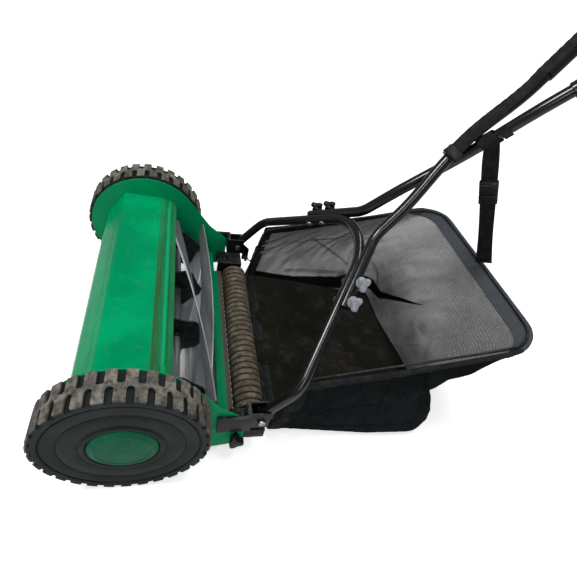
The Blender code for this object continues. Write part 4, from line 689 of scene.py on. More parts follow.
class Look(Nodes):
    """A material being made, with its places, the shared effects and their mixing."""

    def __init__(self, name, **sockets):
        self.made = bpy.data.materials.new(name)
        self.made.use_nodes = True
        super().__init__(self.made.node_tree)
        self.shader = self.tree.nodes["Principled BSDF"].inputs
        for key, value in sockets.items():
            self.feed(self.shader[key.replace("_", " ").title().replace("Ior", "IOR")], value)
        place = self.add("TexCoord").outputs
        self.here, self.chart, self.facing = place["Object"], place["UV"], place["Normal"]

    def mottle(self, scale, low, high):
        return self.effect("Mottle", place=self.here, scale=scale, low=low, high=high)

    def scratches(self, stretch, low, high):
        return self.effect("Scratches", place=self.here, stretch=stretch, low=low, high=high)

    def settled(self, scale, low, high):
        return self.effect("Settled Dust", place=self.here, facing=self.facing, scale=scale,
                           low=low, high=high)

    def zone(self, value, start, end, soft):
        return self.effect("Zone", value=value, **{"from": start, "to": end, "soft": soft})

    def crease(self, start, end, width, thin=True, taper=0.0):
        """A stroke between two points of at(); a thin one hardly counts how far off the wall it is."""
        weights = (1.0, 1.0, 1.0)
        if thin:
            off = Vector((abs(end[1] - start[1]), abs(end[0] - start[0]), 0.0)).normalized() * 0.85
            weights = (1.0 - off.x, 1.0 - off.y, 1.0)
        return self.effect("Crease", place=self.here, start=at(*start), end=at(*end),
                           width=width, weights=weights, taper=taper)

    def grain(self, scale, detail=3.0):
        return self.noise(self.here, scale, detail)

    def along(self, axis):
        return self.axes(self.here)[axis]

    def behind_axle(self):
        return self.math("SUBTRACT", self.along("Y"), AXLE_Y)

    def radius(self, y, z):
        """Distance from a line along X."""
        moved = self.add("Mapping", {"Vector": self.here, "Location": (0.0, -y, -z)}).outputs[0]
        spoke = self.vector("MULTIPLY", moved, (0.0, 1.0, 1.0))
        return self.number("LENGTH", spoke)

    def over(self, tint, mask, share, shade):
        """The tint with a share of a shade over it where the mask is."""
        return self.mix(self.times(mask, share), tint, shade)

    def done(self, tint, dull, height, distance, strength, under=None):
        """Feed the shader; dull is a mask with the roughness without and with it."""
        self.feed(self.shader["Base Color"], tint)
        self.feed(self.shader["Roughness"], self.fade(*dull))
        self.feed(self.shader["Normal"], self.relief(height, distance, strength, under))
        return self.made


# Finishes

RUST = (0.060, 0.042, 0.030)
CHIPPED = (0.10, 0.075, 0.055)
BLACKENED = (0.003, 0.008, 0.009)
DULL_ZINC = (0.23, 0.20, 0.15)
SHADOW_BLACK = (0.004, 0.004, 0.005)


def green_paint(name):
    """Slightly uneven green paint with light scratches and settled dust."""
    look = Look(name, specular_ior_level=0.08)
    paint = colours().paint
    dusty = look.settled(130.0, 0.52, 0.80)
    tint = look.mix(look.mottle(14.0, 0.3, 0.7), tone(paint, 0.88), tone(paint, 1.06))
    tint = look.over(tint, look.scratches((30.0, 420.0, 260.0), 0.66, 0.78), 0.35, tone(paint, 1.9))
    tint = look.over(tint, dusty, 0.45, colours().dust)
    return look.done(tint, (dusty, 0.30, 0.70), look.grain(420.0), 0.0004, 0.10)


def cover_paint(name):
    """Green paint with a darker streaked olive strip along the rear bend, partly rubbed wear and partly
    painted shade of the bend, painted shade over the rear panel behind the bend, and a painted highlight
    along the rib.
    """
    look = Look(name, specular_ior_level=0.03)
    paint = colours().paint
    back = look.behind_axle()
    long_way = look.scratches((14.0, 160.0, 160.0), 0.22, 0.50)
    nearer = look.step(look.along("X"), -0.20, 0.04, 0.40, 1.0)
    # The streaked olive strip on the rear bend is partly rubbed wear and partly painted shade of the
    # bend.
    strip = look.zone(back, 0.0285, 0.0345, 0.003)
    worn = look.times(strip, look.times(long_way, nearer))
    dusty = look.settled(60.0, 0.55, 0.85)
    tint = look.mix(look.mottle(13.0, 0.32, 0.68), tone(paint, 0.78), tone(paint, 1.10))
    tint = look.mix(worn, tint, colours().worn)
    rear_panel_shade = look.mix(long_way, tone(paint, 0.35), colours().worn)
    # Painted shade: the rear panel behind the bend is darkened with streaked dark paint and olive.
    tint = look.over(tint, look.step(back, 0.0335, 0.0375), 0.60, rear_panel_shade)
    # Painted highlight: a lighter line of paint along the rib.
    tint = look.over(tint, look.zone(back, 0.0415, 0.0455, 0.0012), 0.7, tone(paint, 1.35))
    tint = look.over(tint, dusty, 0.22, colours().dust)
    tint = look.over(tint, look.mottle(700.0, 0.70, 0.78), 0.35, tone(paint, 0.45))
    rough = look.math("MAXIMUM", worn, dusty)
    return look.done(tint, (rough, 0.26, 0.62), look.grain(380.0), 0.0004, 0.08)


def bar_paint(name):
    """Green paint; the shelf beside the roller is caked with dry dust."""
    look = Look(name, specular_ior_level=0.06)
    shelf = look.zone(look.behind_axle(), 0.1462, 0.170, 0.0012)
    caked = look.times(shelf, look.mottle(90.0, 0.15, 0.35))
    cover = look.math("MAXIMUM", caked, look.times(look.settled(90.0, 0.50, 0.80), 0.30))
    tint = look.mix(cover, tone(colours().paint, 0.75), tone(colours().dust, 0.55))
    return look.done(tint, (cover, 0.35, 0.9), look.grain(260.0, 8.0), 0.0008, 0.35)


def cap_plastic(name):
    """Green plastic of the hub caps, rubbed in streaks."""
    look = Look(name, specular_ior_level=0.05)
    cap = colours().cap
    rubbed = look.scratches((60.0, 90.0, 240.0), 0.55, 0.75)
    tint = look.mix(look.mottle(45.0, 0.35, 0.7), tone(cap, 0.9), tone(cap, 1.12))
    tint = look.over(tint, rubbed, 0.25, tone(colours().dust, 1.1))
    return look.done(tint, (rubbed, 0.34, 0.55), look.grain(900.0), 0.0002, 0.12)


def wheel_rubber(name):
    """Black moulding: dusty on the blocks, scuffed on the web."""
    look = Look(name, specular_ior_level=0.08)
    rubber, dust = colours().rubber, colours().dust
    block = look.step(look.radius(AXLE_Y, AXLE_Z), 0.1045, 0.1070)
    soiled = look.times(block, look.fade(look.mottle(150.0, 0.30, 0.62), 0.20, 0.90))
    face = look.mix(look.mottle(22.0, 0.35, 0.7), tone(rubber, 0.85), tone(rubber, 1.35))
    face = look.over(face, look.mottle(480.0, 0.60, 0.74), 0.25, tone(dust, 0.8))
    dirt = look.mix(look.mottle(34.0, 0.38, 0.66), tone(dust, 0.65), tone(dust, 1.6))
    tint = look.mix(soiled, face, dirt)
    return look.done(tint, (soiled, 0.46, 0.80), look.grain(700.0, 5.0), 0.0005, 0.25)


def black_enamel(name):
    """Glossy black enamel with a little dust, on the handle's tubes."""
    look = Look(name, specular_ior_level=0.60)
    dusty = look.settled(240.0, 0.50, 0.85)
    marks = look.math("MAXIMUM", look.times(dusty, 0.12),
                      look.times(look.mottle(1200.0, 0.66, 0.76), 0.15))
    tint = look.mix(marks, colours().enamel, colours().dust)
    return look.done(tint, (dusty, 0.20, 0.40), look.grain(160.0), 0.0004, 0.06)


def bracket_enamel(name):
    """Duller black enamel with dirt in patches, on the brackets, hangers and wire."""
    look = Look(name, specular_ior_level=0.25)
    dusty = look.settled(160.0, 0.42, 0.70)
    tint = look.over(tone(colours().enamel, 1.5), dusty, 0.35, colours().dust)
    tint = look.over(tint, look.mottle(300.0, 0.64, 0.70), 0.4, CHIPPED)
    return look.done(tint, (dusty, 0.32, 0.75), look.grain(500.0), 0.0003, 0.2)


def spider_enamel(name):
    """Nearly black enamel caked with dust, on the star plates."""
    look = Look(name, specular_ior_level=0.4)
    caked = look.mottle(140.0, 0.50, 0.68)
    tint = look.over(BLACKENED, caked, 0.5, tone(colours().dust, 0.5))
    return look.done(tint, (caked, 0.35, 0.8), look.grain(400.0), 0.0004, 0.2)


def blade_steel(name):
    """Oiled steel with rubbed streaks, a bright ground edge and faint rust."""
    look = Look(name, metallic=0.35, specular_ior_level=0.2)
    blade = colours().blade
    streaks = look.scratches((5.0, 240.0, 240.0), 0.20, 0.85)
    reach = look.radius(AXLE_Y + REEL_Y, REEL_Z)
    ground = look.step(reach, REEL_RADIUS - 0.0022, REEL_RADIUS - 0.0008)
    tint = look.mix(streaks, tone(blade, 0.75), tone(blade, 1.15))
    tint = look.mix(ground, tint, tone(blade, 3.0))
    tint = look.over(tint, look.mottle(45.0, 0.56, 0.76), 0.35, RUST)
    return look.done(tint, (streaks, 0.52, 0.34), streaks, 0.0002, 0.12)


def zinc_plate(name):
    look = Look(name, metallic=1.0)
    dull = look.mottle(260.0, 0.38, 0.66)
    return look.done(look.mix(dull, colours().zinc, DULL_ZINC), (dull, 0.24, 0.52), look.grain(1400.0),
                     0.0001, 0.2)


def roller_wood(name):
    """Dry turned wood: grain round the roller, with painted shade in the grooves."""
    look = Look(name, specular_ior_level=0.2)
    wood = colours().wood
    reach = look.radius(AXLE_Y + ROLLER_Y, ROLLER_Z)
    ridge = look.step(reach, ROLLER_RADIUS - 0.003, ROLLER_RADIUS - 0.0004)
    fibres = look.scratches((420.0, 60.0, 60.0), 0.35, 0.68)
    tint = look.mix(fibres, tone(wood, 0.62), tone(wood, 1.25))
    tint = look.over(tint, look.mottle(70.0, 0.42, 0.66), 0.55, tone(colours().dust, 1.15))
    # Painted shade: the grooves between the rings are darkened.
    tint = look.mix(ridge, tone(wood, 0.22), tint)
    return look.done(tint, (fibres, 0.92, 0.74), fibres, 0.0006, 0.4)


def knob_plastic(name):
    look = Look(name, specular_ior_level=0.5)
    rubbed = look.mottle(220.0, 0.40, 0.70)
    tint = look.mix(rubbed, tone(colours().knob, 0.75), tone(colours().knob, 1.25))
    return look.done(tint, (rubbed, 0.28, 0.45), look.grain(900.0), 0.0002, 0.15)


def fitting_plastic(name):
    look = Look(name, specular_ior_level=0.25)
    rubbed = look.mottle(300.0, 0.42, 0.72)
    tint = look.mix(rubbed, colours().plastic, tone(colours().plastic, 2.2))
    return look.done(tint, (rubbed, 0.30, 0.50), look.grain(1100.0), 0.0002, 0.2)


def grip_foam(name):
    look = Look(name, specular_ior_level=0.2)
    cells = look.add("TexVoronoi", {"Vector": look.here, "Scale": 1500.0}).outputs["Distance"]
    rubbed = look.mottle(90.0, 0.42, 0.70)
    tint = look.mix(rubbed, (0.012, 0.012, 0.012), (0.034, 0.034, 0.033))
    return look.done(tint, (rubbed, 0.95, 0.82), cells, 0.0005, 0.35)


def webbing_look(name, shade, ribs):
    """Woven webbing with worn patches, ribbed by its own map."""
    look = Look(name, specular_ior_level=0.12)
    woven = look.effect("Weave", None, place=look.chart, pitch=ribs)
    tint = look.mix(woven["Height"], tone(shade, 0.55), tone(shade, 1.6))
    tint = look.over(tint, look.mottle(75.0, 0.36, 0.68), 0.09, tone(colours().dust, 0.75))
    return look.done(tint, (woven["Thread"], 0.72, 0.92), woven["Height"], 0.0004, 0.6)


def strap_weave(name):
    return webbing_look(name, colours().webbing, 0.0017)


def rim_tape(name):
    return webbing_look(name, colours().tape, 0.0014)


def edge_tape(name):
    return webbing_look(name, tone(colours().webbing, 1.1), 0.0014)


def stitch_thread(name):
    look = Look(name, specular_ior_level=0.2)
    twist = look.scratches((900.0, 900.0, 900.0), 0.35, 0.65)
    tint = look.mix(twist, (0.030, 0.031, 0.034), (0.085, 0.088, 0.095))
    return look.done(tint, (twist, 0.9, 0.7), twist, 0.0002, 0.4)


# Strokes on the cloth, with ends given like at(). Creases: start, end, width, height; each crease is a
# bump and also painted shade along it
LINING_CREASES = [
    ((-0.108, 0.513, 0.039), (-0.010, 0.527, 0.108), 0.0050, -1.2),
    ((-0.160, 0.522, 0.084), (-0.108, 0.513, 0.039), 0.0090, -1.2),
    ((-0.203, 0.529, 0.113), (-0.078, 0.590, 0.204), 0.0030, 0.5),
    ((-0.130, 0.524, 0.098), (0.010, 0.545, 0.143), 0.0030, 0.5),
    ((0.008, 0.572, 0.183), (0.048, 0.523, 0.094), 0.0090, -0.9),
    ((0.075, 0.586, 0.199), (0.108, 0.552, 0.156), 0.0090, -0.9),
    ((0.122, 0.587, 0.201), (0.136, 0.560, 0.167), 0.0080, 0.8),
    ((0.043, 0.513, 0.046), (0.117, 0.539, 0.133), 0.0030, 0.4),
    ((-0.056, 0.586, 0.200), (-0.018, 0.536, 0.127), 0.0050, 0.6),
    ((-0.194, 0.295, 0.101), (-0.194, 0.416, 0.129), 0.0040, 0.6),
    ((-0.194, 0.243, 0.074), (-0.194, 0.295, 0.101), 0.0040, -0.6),
    ((-0.194, 0.349, 0.117), (-0.194, 0.435, 0.069), 0.0060, 0.7),
    ((-0.180, 0.300, 0.030), (-0.170, 0.430, 0.043), 0.0090, -0.8)]
# Painted shadow: deep folds in shade, and the far wall's foot, where black floor cloth climbs it and
# shade falls: start, end, width, taper
LINING_SHADOWS = [
    ((-0.189, 0.210, 0.010), (-0.176, 0.330, 0.012), 0.020, 0.2),
    ((-0.176, 0.330, 0.012), (-0.150, 0.470, 0.030), 0.018, -0.4),
    ((-0.150, 0.470, 0.036), (-0.100, 0.497, 0.046), 0.026, 0.5),
    ((-0.100, 0.497, 0.046), (0.024, 0.520, 0.135), 0.012, 1.0)]
# Painted light: lighter patches on the rear wall: start, end, width
LINING_PAINTED_LIGHT = [
    ((-0.060, 0.535, 0.165), (0.030, 0.516, 0.110), 0.100),
    ((0.030, 0.516, 0.110), (0.115, 0.513, 0.060), 0.080)]
CLOTH_CREASES = [
    ((0.200, 0.270, 0.060), (0.203, 0.380, 0.095), 0.0060, 0.9),
    ((0.204, 0.290, 0.030), (0.204, 0.450, 0.045), 0.0080, -0.8),
    ((0.200, 0.430, 0.160), (0.200, 0.470, 0.060), 0.0080, 0.8),
    ((-0.196, 0.300, 0.060), (-0.200, 0.430, 0.110), 0.0080, 0.8),
    ((-0.100, 0.520, 0.040), (0.060, 0.530, 0.110), 0.0080, 0.8)]
FLOOR_CREASES = [
    ((-0.160, 0.300, 0.010), (0.020, 0.340, 0.010), 0.0070, 0.7),
    ((0.060, 0.250, 0.010), (0.150, 0.420, 0.010), 0.0080, -0.6),
    ((-0.089, 0.498, 0.010), (0.180, 0.498, 0.010), 0.0030, 1.0)]


def cloth_look(name, shade, other, creases, loose, soil, far_wall_light=1.0, painted_light_patches=(), shadows=()):
    """Open plain weave with a lighter and a darker thread, soft creases with painted shade, painted light
    on the far wall and on given patches, painted shadows in deep folds, and dust.
    """
    look = Look(name, specular_ior_level=0.04)
    dust = colours().dust
    woven = look.effect("Weave", None, place=look.chart, pitch=sizes().weave_pitch)
    fine = look.effect("Weave", None, place=look.chart, pitch=sizes().weave_pitch * 0.37)
    far = look.step(look.along("X"), -0.19, -0.10, 1.0, 0.0)
    tint = look.mix(look.mottle(11.0, 0.30, 0.70), shade, other)
    # Painted light: the far wall takes a lighter tone of its own.
    tint = look.mix(far, tint, tone(other, far_wall_light))
    # Painted light: lighter patches on the wall.
    for start, end, width in painted_light_patches:
        tint = look.over(tint, look.crease(start, end, width, thin=False), 0.70, tone(other, 2.0))
    tint = look.mix(look.fade(woven["Height"], 1.5 * loose, 0.0), tint, tone(shade, 0.12))
    tint = look.over(tint, woven["Thread"], 0.12, tone(other, 1.7))
    tint = look.over(tint, look.mottle(42.0, 0.50, 0.72), soil, tone(dust, 0.7))
    tint = look.over(tint, look.mottle(230.0, 0.66, 0.72), 3.5 * soil, tone(dust, 1.5))
    height = look.math("ADD", look.times(woven["Height"], 0.12),
                       look.times(look.grain(26.0, 2.0), 2.4))
    marks = 0.0
    for start, end, width, rise in creases:
        marks = look.math("ADD", marks, look.times(look.crease(start, end, width), rise))
    # Painted shade: the cloth darkens along every crease, rising or sinking.
    tint = look.over(tint, look.math("ABSOLUTE", marks), 0.50, tone(shade, 0.35))
    # Painted shadow: deep folds and the far wall's foot go nearly black.
    for start, end, width, taper in shadows:
        dark = look.step(look.crease(start, end, width, taper=taper), 0.2, 0.5)
        tint = look.mix(dark, tint, SHADOW_BLACK)
    folded = look.relief(look.math("ADD", height, marks), 0.0035, 0.9)
    return look.done(tint, (fine["Height"], 0.95, 0.78), fine["Height"], 0.0002, 0.5, folded)


def lining_cloth(name):
    shade = colours().lining
    return cloth_look(name, tone(shade, 0.80), tone(shade, 1.12), LINING_CREASES, 0.6, 0.12, 2.0,
                      LINING_PAINTED_LIGHT, LINING_SHADOWS)


def outer_cloth(name):
    shade = colours().cloth
    return cloth_look(name, tone(shade, 0.55), tone(shade, 0.95), CLOTH_CREASES, 0.4, 0.05)


def floor_cloth(name):
    shade = colours().floor
    return cloth_look(name, tone(shade, 0.8), tone(shade, 1.5), FLOOR_CREASES, 0.3, 0.11)


def finish(builder):
    """The material of a builder function, made once."""
    name = builder.__name__.replace("_", " ").title()
    return bpy.data.materials.get(name) or builder(name)


def coat(builder, *nodes):
    """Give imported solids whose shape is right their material."""
    for node in nodes:
        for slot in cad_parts[node].material_slots:
            slot.material = finish(builder)


def dress(piece, name, body, builder, *nodes, slot=None):
    """Name a finished piece, give it its material and body, and hide the solids it stands for."""
    piece.name = name
    piece.data.name = name
    if builder:
        piece.data.materials.clear()
        piece.data.materials.append(finish(builder))
    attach(piece, body)
    if nodes:
        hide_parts(*nodes)
    return piece


def redress(node, name, body, builder, width):
    """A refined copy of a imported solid, finished."""
    return dress(refined(node, width), name, body, builder, node)


def fill_ends(piece):
    """Close every open edge of a piece with a face."""
    pick(piece)
    bpy.ops.object.mode_set(mode="EDIT")
    bpy.ops.mesh.select_all(action="SELECT")
    bpy.ops.mesh.fill_holes(sides=0)
    bpy.ops.object.mode_set(mode="OBJECT")
    return close_shell(piece)


def surface(name, rows):
    """A sheet through rows of points, with a map in metres along and across it."""
    mesh = bpy.data.meshes.new(name)
    wide = len(rows[0])
    points = [tuple(p) for row in rows for p in row]
    faces = []
    for i in range(len(rows) - 1):
        for j in range(wide - 1):
            corner = i * wide + j
            faces.append((corner, corner + 1, corner + wide + 1, corner + wide))
    mesh.from_pydata(points, [], faces)
    down = [0.0]
    for first, second in zip(rows, rows[1:]):
        down.append(down[-1] + (Vector(second[wide // 2]) - Vector(first[wide // 2])).length)
    across = []
    for row in rows:
        run = [0.0]
        for first, second in zip(row, row[1:]):
            run.append(run[-1] + (Vector(second) - Vector(first)).length)
        across.append([value - run[wide // 2] for value in run])
    layer = mesh.uv_layers.new(name="Map")
    for face in mesh.polygons:
        for loop in face.loop_indices:
            vertex = mesh.loops[loop].vertex_index
            i, j = divmod(vertex, wide)
            layer.data[loop].uv = (across[i][j], down[i])
    piece = bpy.data.objects.new(name, mesh)
    bpy.context.collection.objects.link(piece)
    return piece


def thicken(piece, thickness, offset=0.0):
    return modify(piece, "SOLIDIFY", thickness=thickness, offset=offset, use_even_offset=False)


# Wheels

# Sections as (distance along X, radius) points
WHEEL_FACE = [
    (0.2515, 0.0069), (0.2515, 0.0430), (0.2605, 0.0432), (0.2628, 0.0450), (0.2630, 0.0475),
    (0.2628, 0.0500), (0.2607, 0.0518), (0.2607, 0.0526), (0.2615, 0.0534), (0.2615, 0.0750),
    (0.2605, 0.0756), (0.2605, 0.0764), (0.2615, 0.0770), (0.2615, 0.0928), (0.2600, 0.0936),
    (0.2600, 0.0948), (0.2622, 0.0958), (0.2626, 0.1000), (0.2630, 0.1060), (0.2618, 0.1080),
    (0.2200, 0.1080), (0.2190, 0.1070), (0.2190, 0.0940), (0.2555, 0.0940), (0.2555, 0.0460),
    (0.2455, 0.0460), (0.2455, 0.0160), (0.2226, 0.0160), (0.2226, 0.0069)]
CAP_FACE = [
    (0.2518, 0.0010), (0.2518, 0.0427), (0.2612, 0.0427), (0.2630, 0.0416), (0.2648, 0.0355),
    (0.2655, 0.0345), (0.2656, 0.0335), (0.2650, 0.0328), (0.2656, 0.0260), (0.2664, 0.0120),
    (0.2667, 0.0010)]
# Slots of the outer and the inner row: from and to along the axle, rounded end, turn in blocks
TREAD_ROWS = ((0.2425, 0.2700, True, 0.0), (0.2120, 0.2390, False, 0.5))


def tread_tool(low, high, rounded):
    """One cutter between two tread blocks; the closed end of a slot is rounded or square."""
    half = TREAD_SLOT_SHARE * math.pi * WHEEL_RADIUS / TREAD_BLOCKS
    if rounded:
        arc = [(half * math.cos(a), low + half + half * math.sin(a))
               for a in (math.pi + math.pi * i / 10 for i in range(11))]
        outline = arc + [(half, high), (-half, high)]
    else:
        shoulder = high - TREAD_CORNER
        outline = [(-half, low), (half, low), (half, shoulder), (half - TREAD_CORNER, high),
                   (-half + TREAD_CORNER, high), (-half, shoulder)]
    tool = plate("tread_tool", [outline], TREAD_TOOL_HEIGHT, 0.0005, 0)
    centre = WHEEL_RADIUS - sizes().tread_depth + TREAD_TOOL_HEIGHT / 2
    return settle(tool, Vector((0.0, centre, 0.0)), turn_to(UP, X_WAY, Y_WAY))


def tread_tools():
    """The cutters of both rows, set round the left wheel's axle and joined."""
    made = []
    for low, high, rounded, phase in TREAD_ROWS:
        first = tread_tool(low, high, rounded)
        for i in range(TREAD_BLOCKS):
            turn = Matrix.Rotation(2 * math.pi * (i + phase) / TREAD_BLOCKS, 3, "X").to_quaternion()
            made.append(settle(copied(first), at(0.0, 0.0, AXLE_Z), turn))
        bpy.data.objects.remove(first, do_unlink=True)
    return joined("tread_tools", made)


class MOWER_OT_wheels(bpy.types.Operator):
    """Moulded wheels with two rows of tread blocks, and their green hub caps"""
    bl_idname = "mower.wheels"
    bl_label = "Wheels"

    def execute(self, context):
        axle = at(0.0, 0.0, AXLE_Z)
        wheel = turned("left_wheel_moulding", WHEEL_FACE, axle, segments=120)
        carve(wheel, tread_tools())
        bevel(wheel, 0.0006, 1, 40.0)
        smooth(wheel, 30.0)
        other = mirror_copy(wheel, "right_wheel_moulding")
        smooth(other, 30.0)
        cap = smooth(turned("left_cap_disc", CAP_FACE, axle, segments=120), 25.0)
        other_cap = smooth(mirror_copy(cap, "right_cap_disc"), 25.0)
        for side, moulding, disc in ((1, wheel, cap), (-1, other, other_cap)):
            body = side_name(side, "wheel")
            dress(moulding, side_name(side, "wheel_moulding"), body, wheel_rubber, body)
            dress(disc, side_name(side, "cap_disc"), body, cap_plastic, side_name(side, "hub_cap"))
            coat(fitting_plastic, side_name(side, "ring_gear"), side_name(side, "pinion"))
            coat(zinc_plate, side_name(side, "axle_stub"), side_name(side, "reel_bearing"))
        return {"FINISHED"}


# Sheet body

def plate_outline():
    """Outline of a side plate, as (behind the axle, height): the disc's arc, then the ear."""
    away = math.hypot(EAR_KINK[0], EAR_KINK[1] - AXLE_Z)
    tangent = math.atan2(EAR_KINK[1] - AXLE_Z, EAR_KINK[0]) + math.acos(DISC_RADIUS / away)
    sweep = DISC_END - tangent
    turns = [tangent + sweep * i / DISC_STEPS for i in range(DISC_STEPS + 1)]
    outline = [(DISC_RADIUS * math.cos(a), AXLE_Z + DISC_RADIUS * math.sin(a)) for a in turns]
    corners = [(outline[-1][0], outline[-1][1], 0.0), (REEL_Y + EAR_START[0], EAR_START[1], 0.0),
               (EAR_REAR, EAR_BOTTOM - 0.002, 0.0), (EAR_REAR, EAR_TOP, 0.0),
               (EAR_KINK[0], EAR_KINK[1], 0.0), (outline[0][0], outline[0][1], 0.0)]
    eased = rounded_path(corners, [0.03, 0.009, 0.006, 0.02], 6)
    return outline + [(p.x, p.y) for p in eased[1:-1]]


class MOWER_OT_side_plates(bpy.types.Operator):
    """Painted gear discs with the ears that carry roller and handle"""
    bl_idname = "mower.side_plates"
    bl_label = "Side Plates"

    def execute(self, context):
        holes = [[(y, AXLE_Z + z) for y, z in circle_points(AXLE_RADIUS + FIT_GAP, 32)],
                 [(REEL_Y + y, REEL_Z + z) for y, z in circle_points(BEARING_RADIUS + FIT_GAP, 40)]]
        slot = []
        for centre, start in ((HEIGHT_BOLT_Z + HEIGHT_UP, 0.0), (HEIGHT_BOLT_Z - HEIGHT_DOWN, math.pi)):
            turns = [start + math.pi * i / 10 for i in range(11)]
            slot += [(HEIGHT_BOLT_Y + SLOT_HALF_WIDTH * math.cos(a),
                      centre + SLOT_HALF_WIDTH * math.sin(a)) for a in turns]
        for side in SIDES:
            flat = plate("plate", [plate_outline()] + holes + [slot], PLATE_THICKNESS,
                         sizes().plate_edge, 2)
            upright(flat, side * (PLATE_INNER_FACE + PLATE_THICKNESS / 2))
            smooth(flat, 40.0)
            dress(flat, side_name(side, "gear_disc"), "frame", green_paint,
                  side_name(side, "side_plate"))
        return {"FINISHED"}


def cover_profile():
    """Outer line of the folded sheet, with eased bends and fine grooves on the front chamfer."""
    bends = [(y, AXLE_Z + rise, 0.0) for y, rise in COVER_BENDS]
    line = rounded_path(bends, [0.006, 0.006, 0.008, 0.010], 7)
    dense = [line[0]]
    for point in line[1:]:
        run = point - dense[-1]
        parts = max(1, int(run.length / COVER_GRAIN))
        start = dense[-1].copy()
        dense += [start + run * i / parts for i in range(1, parts + 1)]
    out = []
    for i, point in enumerate(dense):
        ahead = (dense[min(i + 1, len(dense) - 1)] - dense[max(i - 1, 0)]).normalized()
        normal = Vector((-ahead.y, ahead.x, 0.0))
        depth = 0.0
        if GROOVES_FROM < point.x < GROOVES_TO:
            turn = 2 * math.pi * (point.x - GROOVES_FROM) / GROOVE_PITCH
            depth = GROOVE_DEPTH * max(0.0, math.cos(turn)) ** 3
        out.append(point - normal * depth)
    return out


class MOWER_OT_reel_cover(bpy.types.Operator):
    """Folded cover over the reel, with an embossed rib along its rear face"""
    bl_idname = "mower.reel_cover"
    bl_label = "Reel Cover"

    def execute(self, context):
        line = cover_profile()
        half = PLATE_INNER_FACE - FIT_GAP
        stations = [-half + 2 * half * i / COVER_STEPS for i in range(COVER_STEPS + 1)]
        rows = []
        for i, point in enumerate(line):
            ahead = (line[min(i + 1, len(line) - 1)] - line[max(i - 1, 0)]).normalized()
            normal = Vector((-ahead.y, ahead.x))
            row = []
            for x in stations:
                end = max(RIB_START - x, x - RIB_END, 0.0)
                off = math.hypot(point.x - RIB_MIDDLE, end)
                rise = RIB_HEIGHT * (0.5 + 0.5 * math.cos(math.pi * min(off / RIB_HALF, 1.0))) ** 0.6
                lift = normal * (rise if RIB_FACE[0] < point.x < RIB_FACE[1] else 0.0)
                row.append(at(x, point.x + lift.x, point.y + lift.y))
            rows.append(row)
        sheet = surface("reel_cover_sheet", rows)
        thicken(sheet, COVER_THICKNESS, -1.0)
        bevel(sheet, 0.0004, 1, 60.0)
        smooth(sheet, 30.0)
        dress(sheet, "reel_cover_sheet", "frame", cover_paint, "reel_cover")
        return {"FINISHED"}


class MOWER_OT_bed(bpy.types.Operator):
    """Bed bar with its shelf, and the bed knife under it"""
    bl_idname = "mower.bed"
    bl_label = "Bed Bar and Knife"

    def execute(self, context):
        rear = BAR_FRONT + BAR_THICKNESS
        outline = [(BAR_FRONT, BAR_BOTTOM), (rear, BAR_BOTTOM), (rear, BAR_TOP - 0.0015),
                   ((BAR_FRONT + rear) / 2, BAR_TOP), (BAR_FRONT, BAR_TOP - 0.0015)]
        half = PLATE_INNER_FACE - FIT_GAP
        bar = upright(plate("bar", [outline], 2 * half, 0.0007, 2), 0.0)
        low = BAR_BOTTOM + FIT_GAP
        shelf = block("shelf", at(-SHELF_HALF, rear - 0.004, low),
                      at(SHELF_HALF, SHELF_REACH, low + 0.003))
        bevel(shelf, 0.0008, 2)
        carve(bar, shelf, "UNION")
        dress(smooth(bar), "bed_bar_pressing", "frame", bar_paint, "bed_bar")
        redress("bed_knife", "bed_knife_strip", "frame", blade_steel, 0.0003)
        return {"FINISHED"}


# Reel

def reel_blade(index):
    """One ribbon with a ground cutting edge, twisted along the shaft."""
    start = 2 * math.pi * index / BLADE_COUNT - BLADE_TWIST / 2
    trail = start + BLADE_WIDTH_ANGLE
    outer = Vector((0.0, REEL_RADIUS * math.cos(start), REEL_RADIUS * math.sin(start)))
    inner = Vector((0.0, BLADE_INNER * math.cos(trail), BLADE_INNER * math.sin(trail)))
    flat = (inner - outer).normalized()
    across = Vector((0.0, flat.z, -flat.y)) * BLADE_THICKNESS
    eased_inner = inner - flat * BLADE_EASE
    section = [outer, eased_inner, inner - across * 0.2, inner - across * 0.8,
               eased_inner - across, outer + flat * BLADE_THICKNESS - across]
    line = drawn_line("blade", [p - Vector((BLADE_HALF, 0.0, 0.0)) for p in section], True)
    piece = as_mesh(line)
    modify(piece, "SCREW", angle=BLADE_TWIST, screw_offset=2 * BLADE_HALF, steps=72, render_steps=72,
           axis="X", use_merge_vertices=False, use_smooth_shade=False)
    fill_ends(piece)
    return settle(piece, at(0.0, REEL_Y, REEL_Z))


def reel_spider(x):
    """A star plate with a lug under each blade and a round hub on the shaft."""
    turn = BLADE_TWIST * x / (2 * BLADE_HALF) + BLADE_WIDTH_ANGLE
    lug = BLADE_INNER - FIT_GAP
    pitch = 2 * math.pi / BLADE_COUNT
    outline = []
    for i in range(BLADE_COUNT):
        arm = turn + i * pitch
        stations = [(arm + LUG_ANGLE * part, lug) for part in (-1.0, -0.5, 0.0, 0.5, 1.0)]
        for j in range(1, 12):
            part = j / 12
            radius = lug - (lug - SPIDER_WAIST) * math.sin(math.pi * part) ** 0.8
            stations.append((arm + LUG_ANGLE + part * (pitch - 2 * LUG_ANGLE), radius))
        outline += [(radius * math.cos(angle), radius * math.sin(angle)) for angle, radius in stations]
    hole = circle_points(SHAFT_RADIUS + FIT_GAP, 24)
    moved = [[(REEL_Y + y, REEL_Z + z) for y, z in run] for run in (outline, hole)]
    star = upright(plate("spider", moved, SPIDER_THICKNESS, 0.0005, 1), x)
    bore = SHAFT_RADIUS + 0.0002
    half = [(HUB_HALF, bore), (HUB_HALF, HUB_RADIUS - 0.001), (HUB_HALF - 0.001, HUB_RADIUS)]
    profile = [(-along, radius) for along, radius in half] + half[::-1]
    hub = turned("spider_hub", profile, at(x, REEL_Y, REEL_Z), segments=32)
    return smooth(joined("spider", [star, hub]))


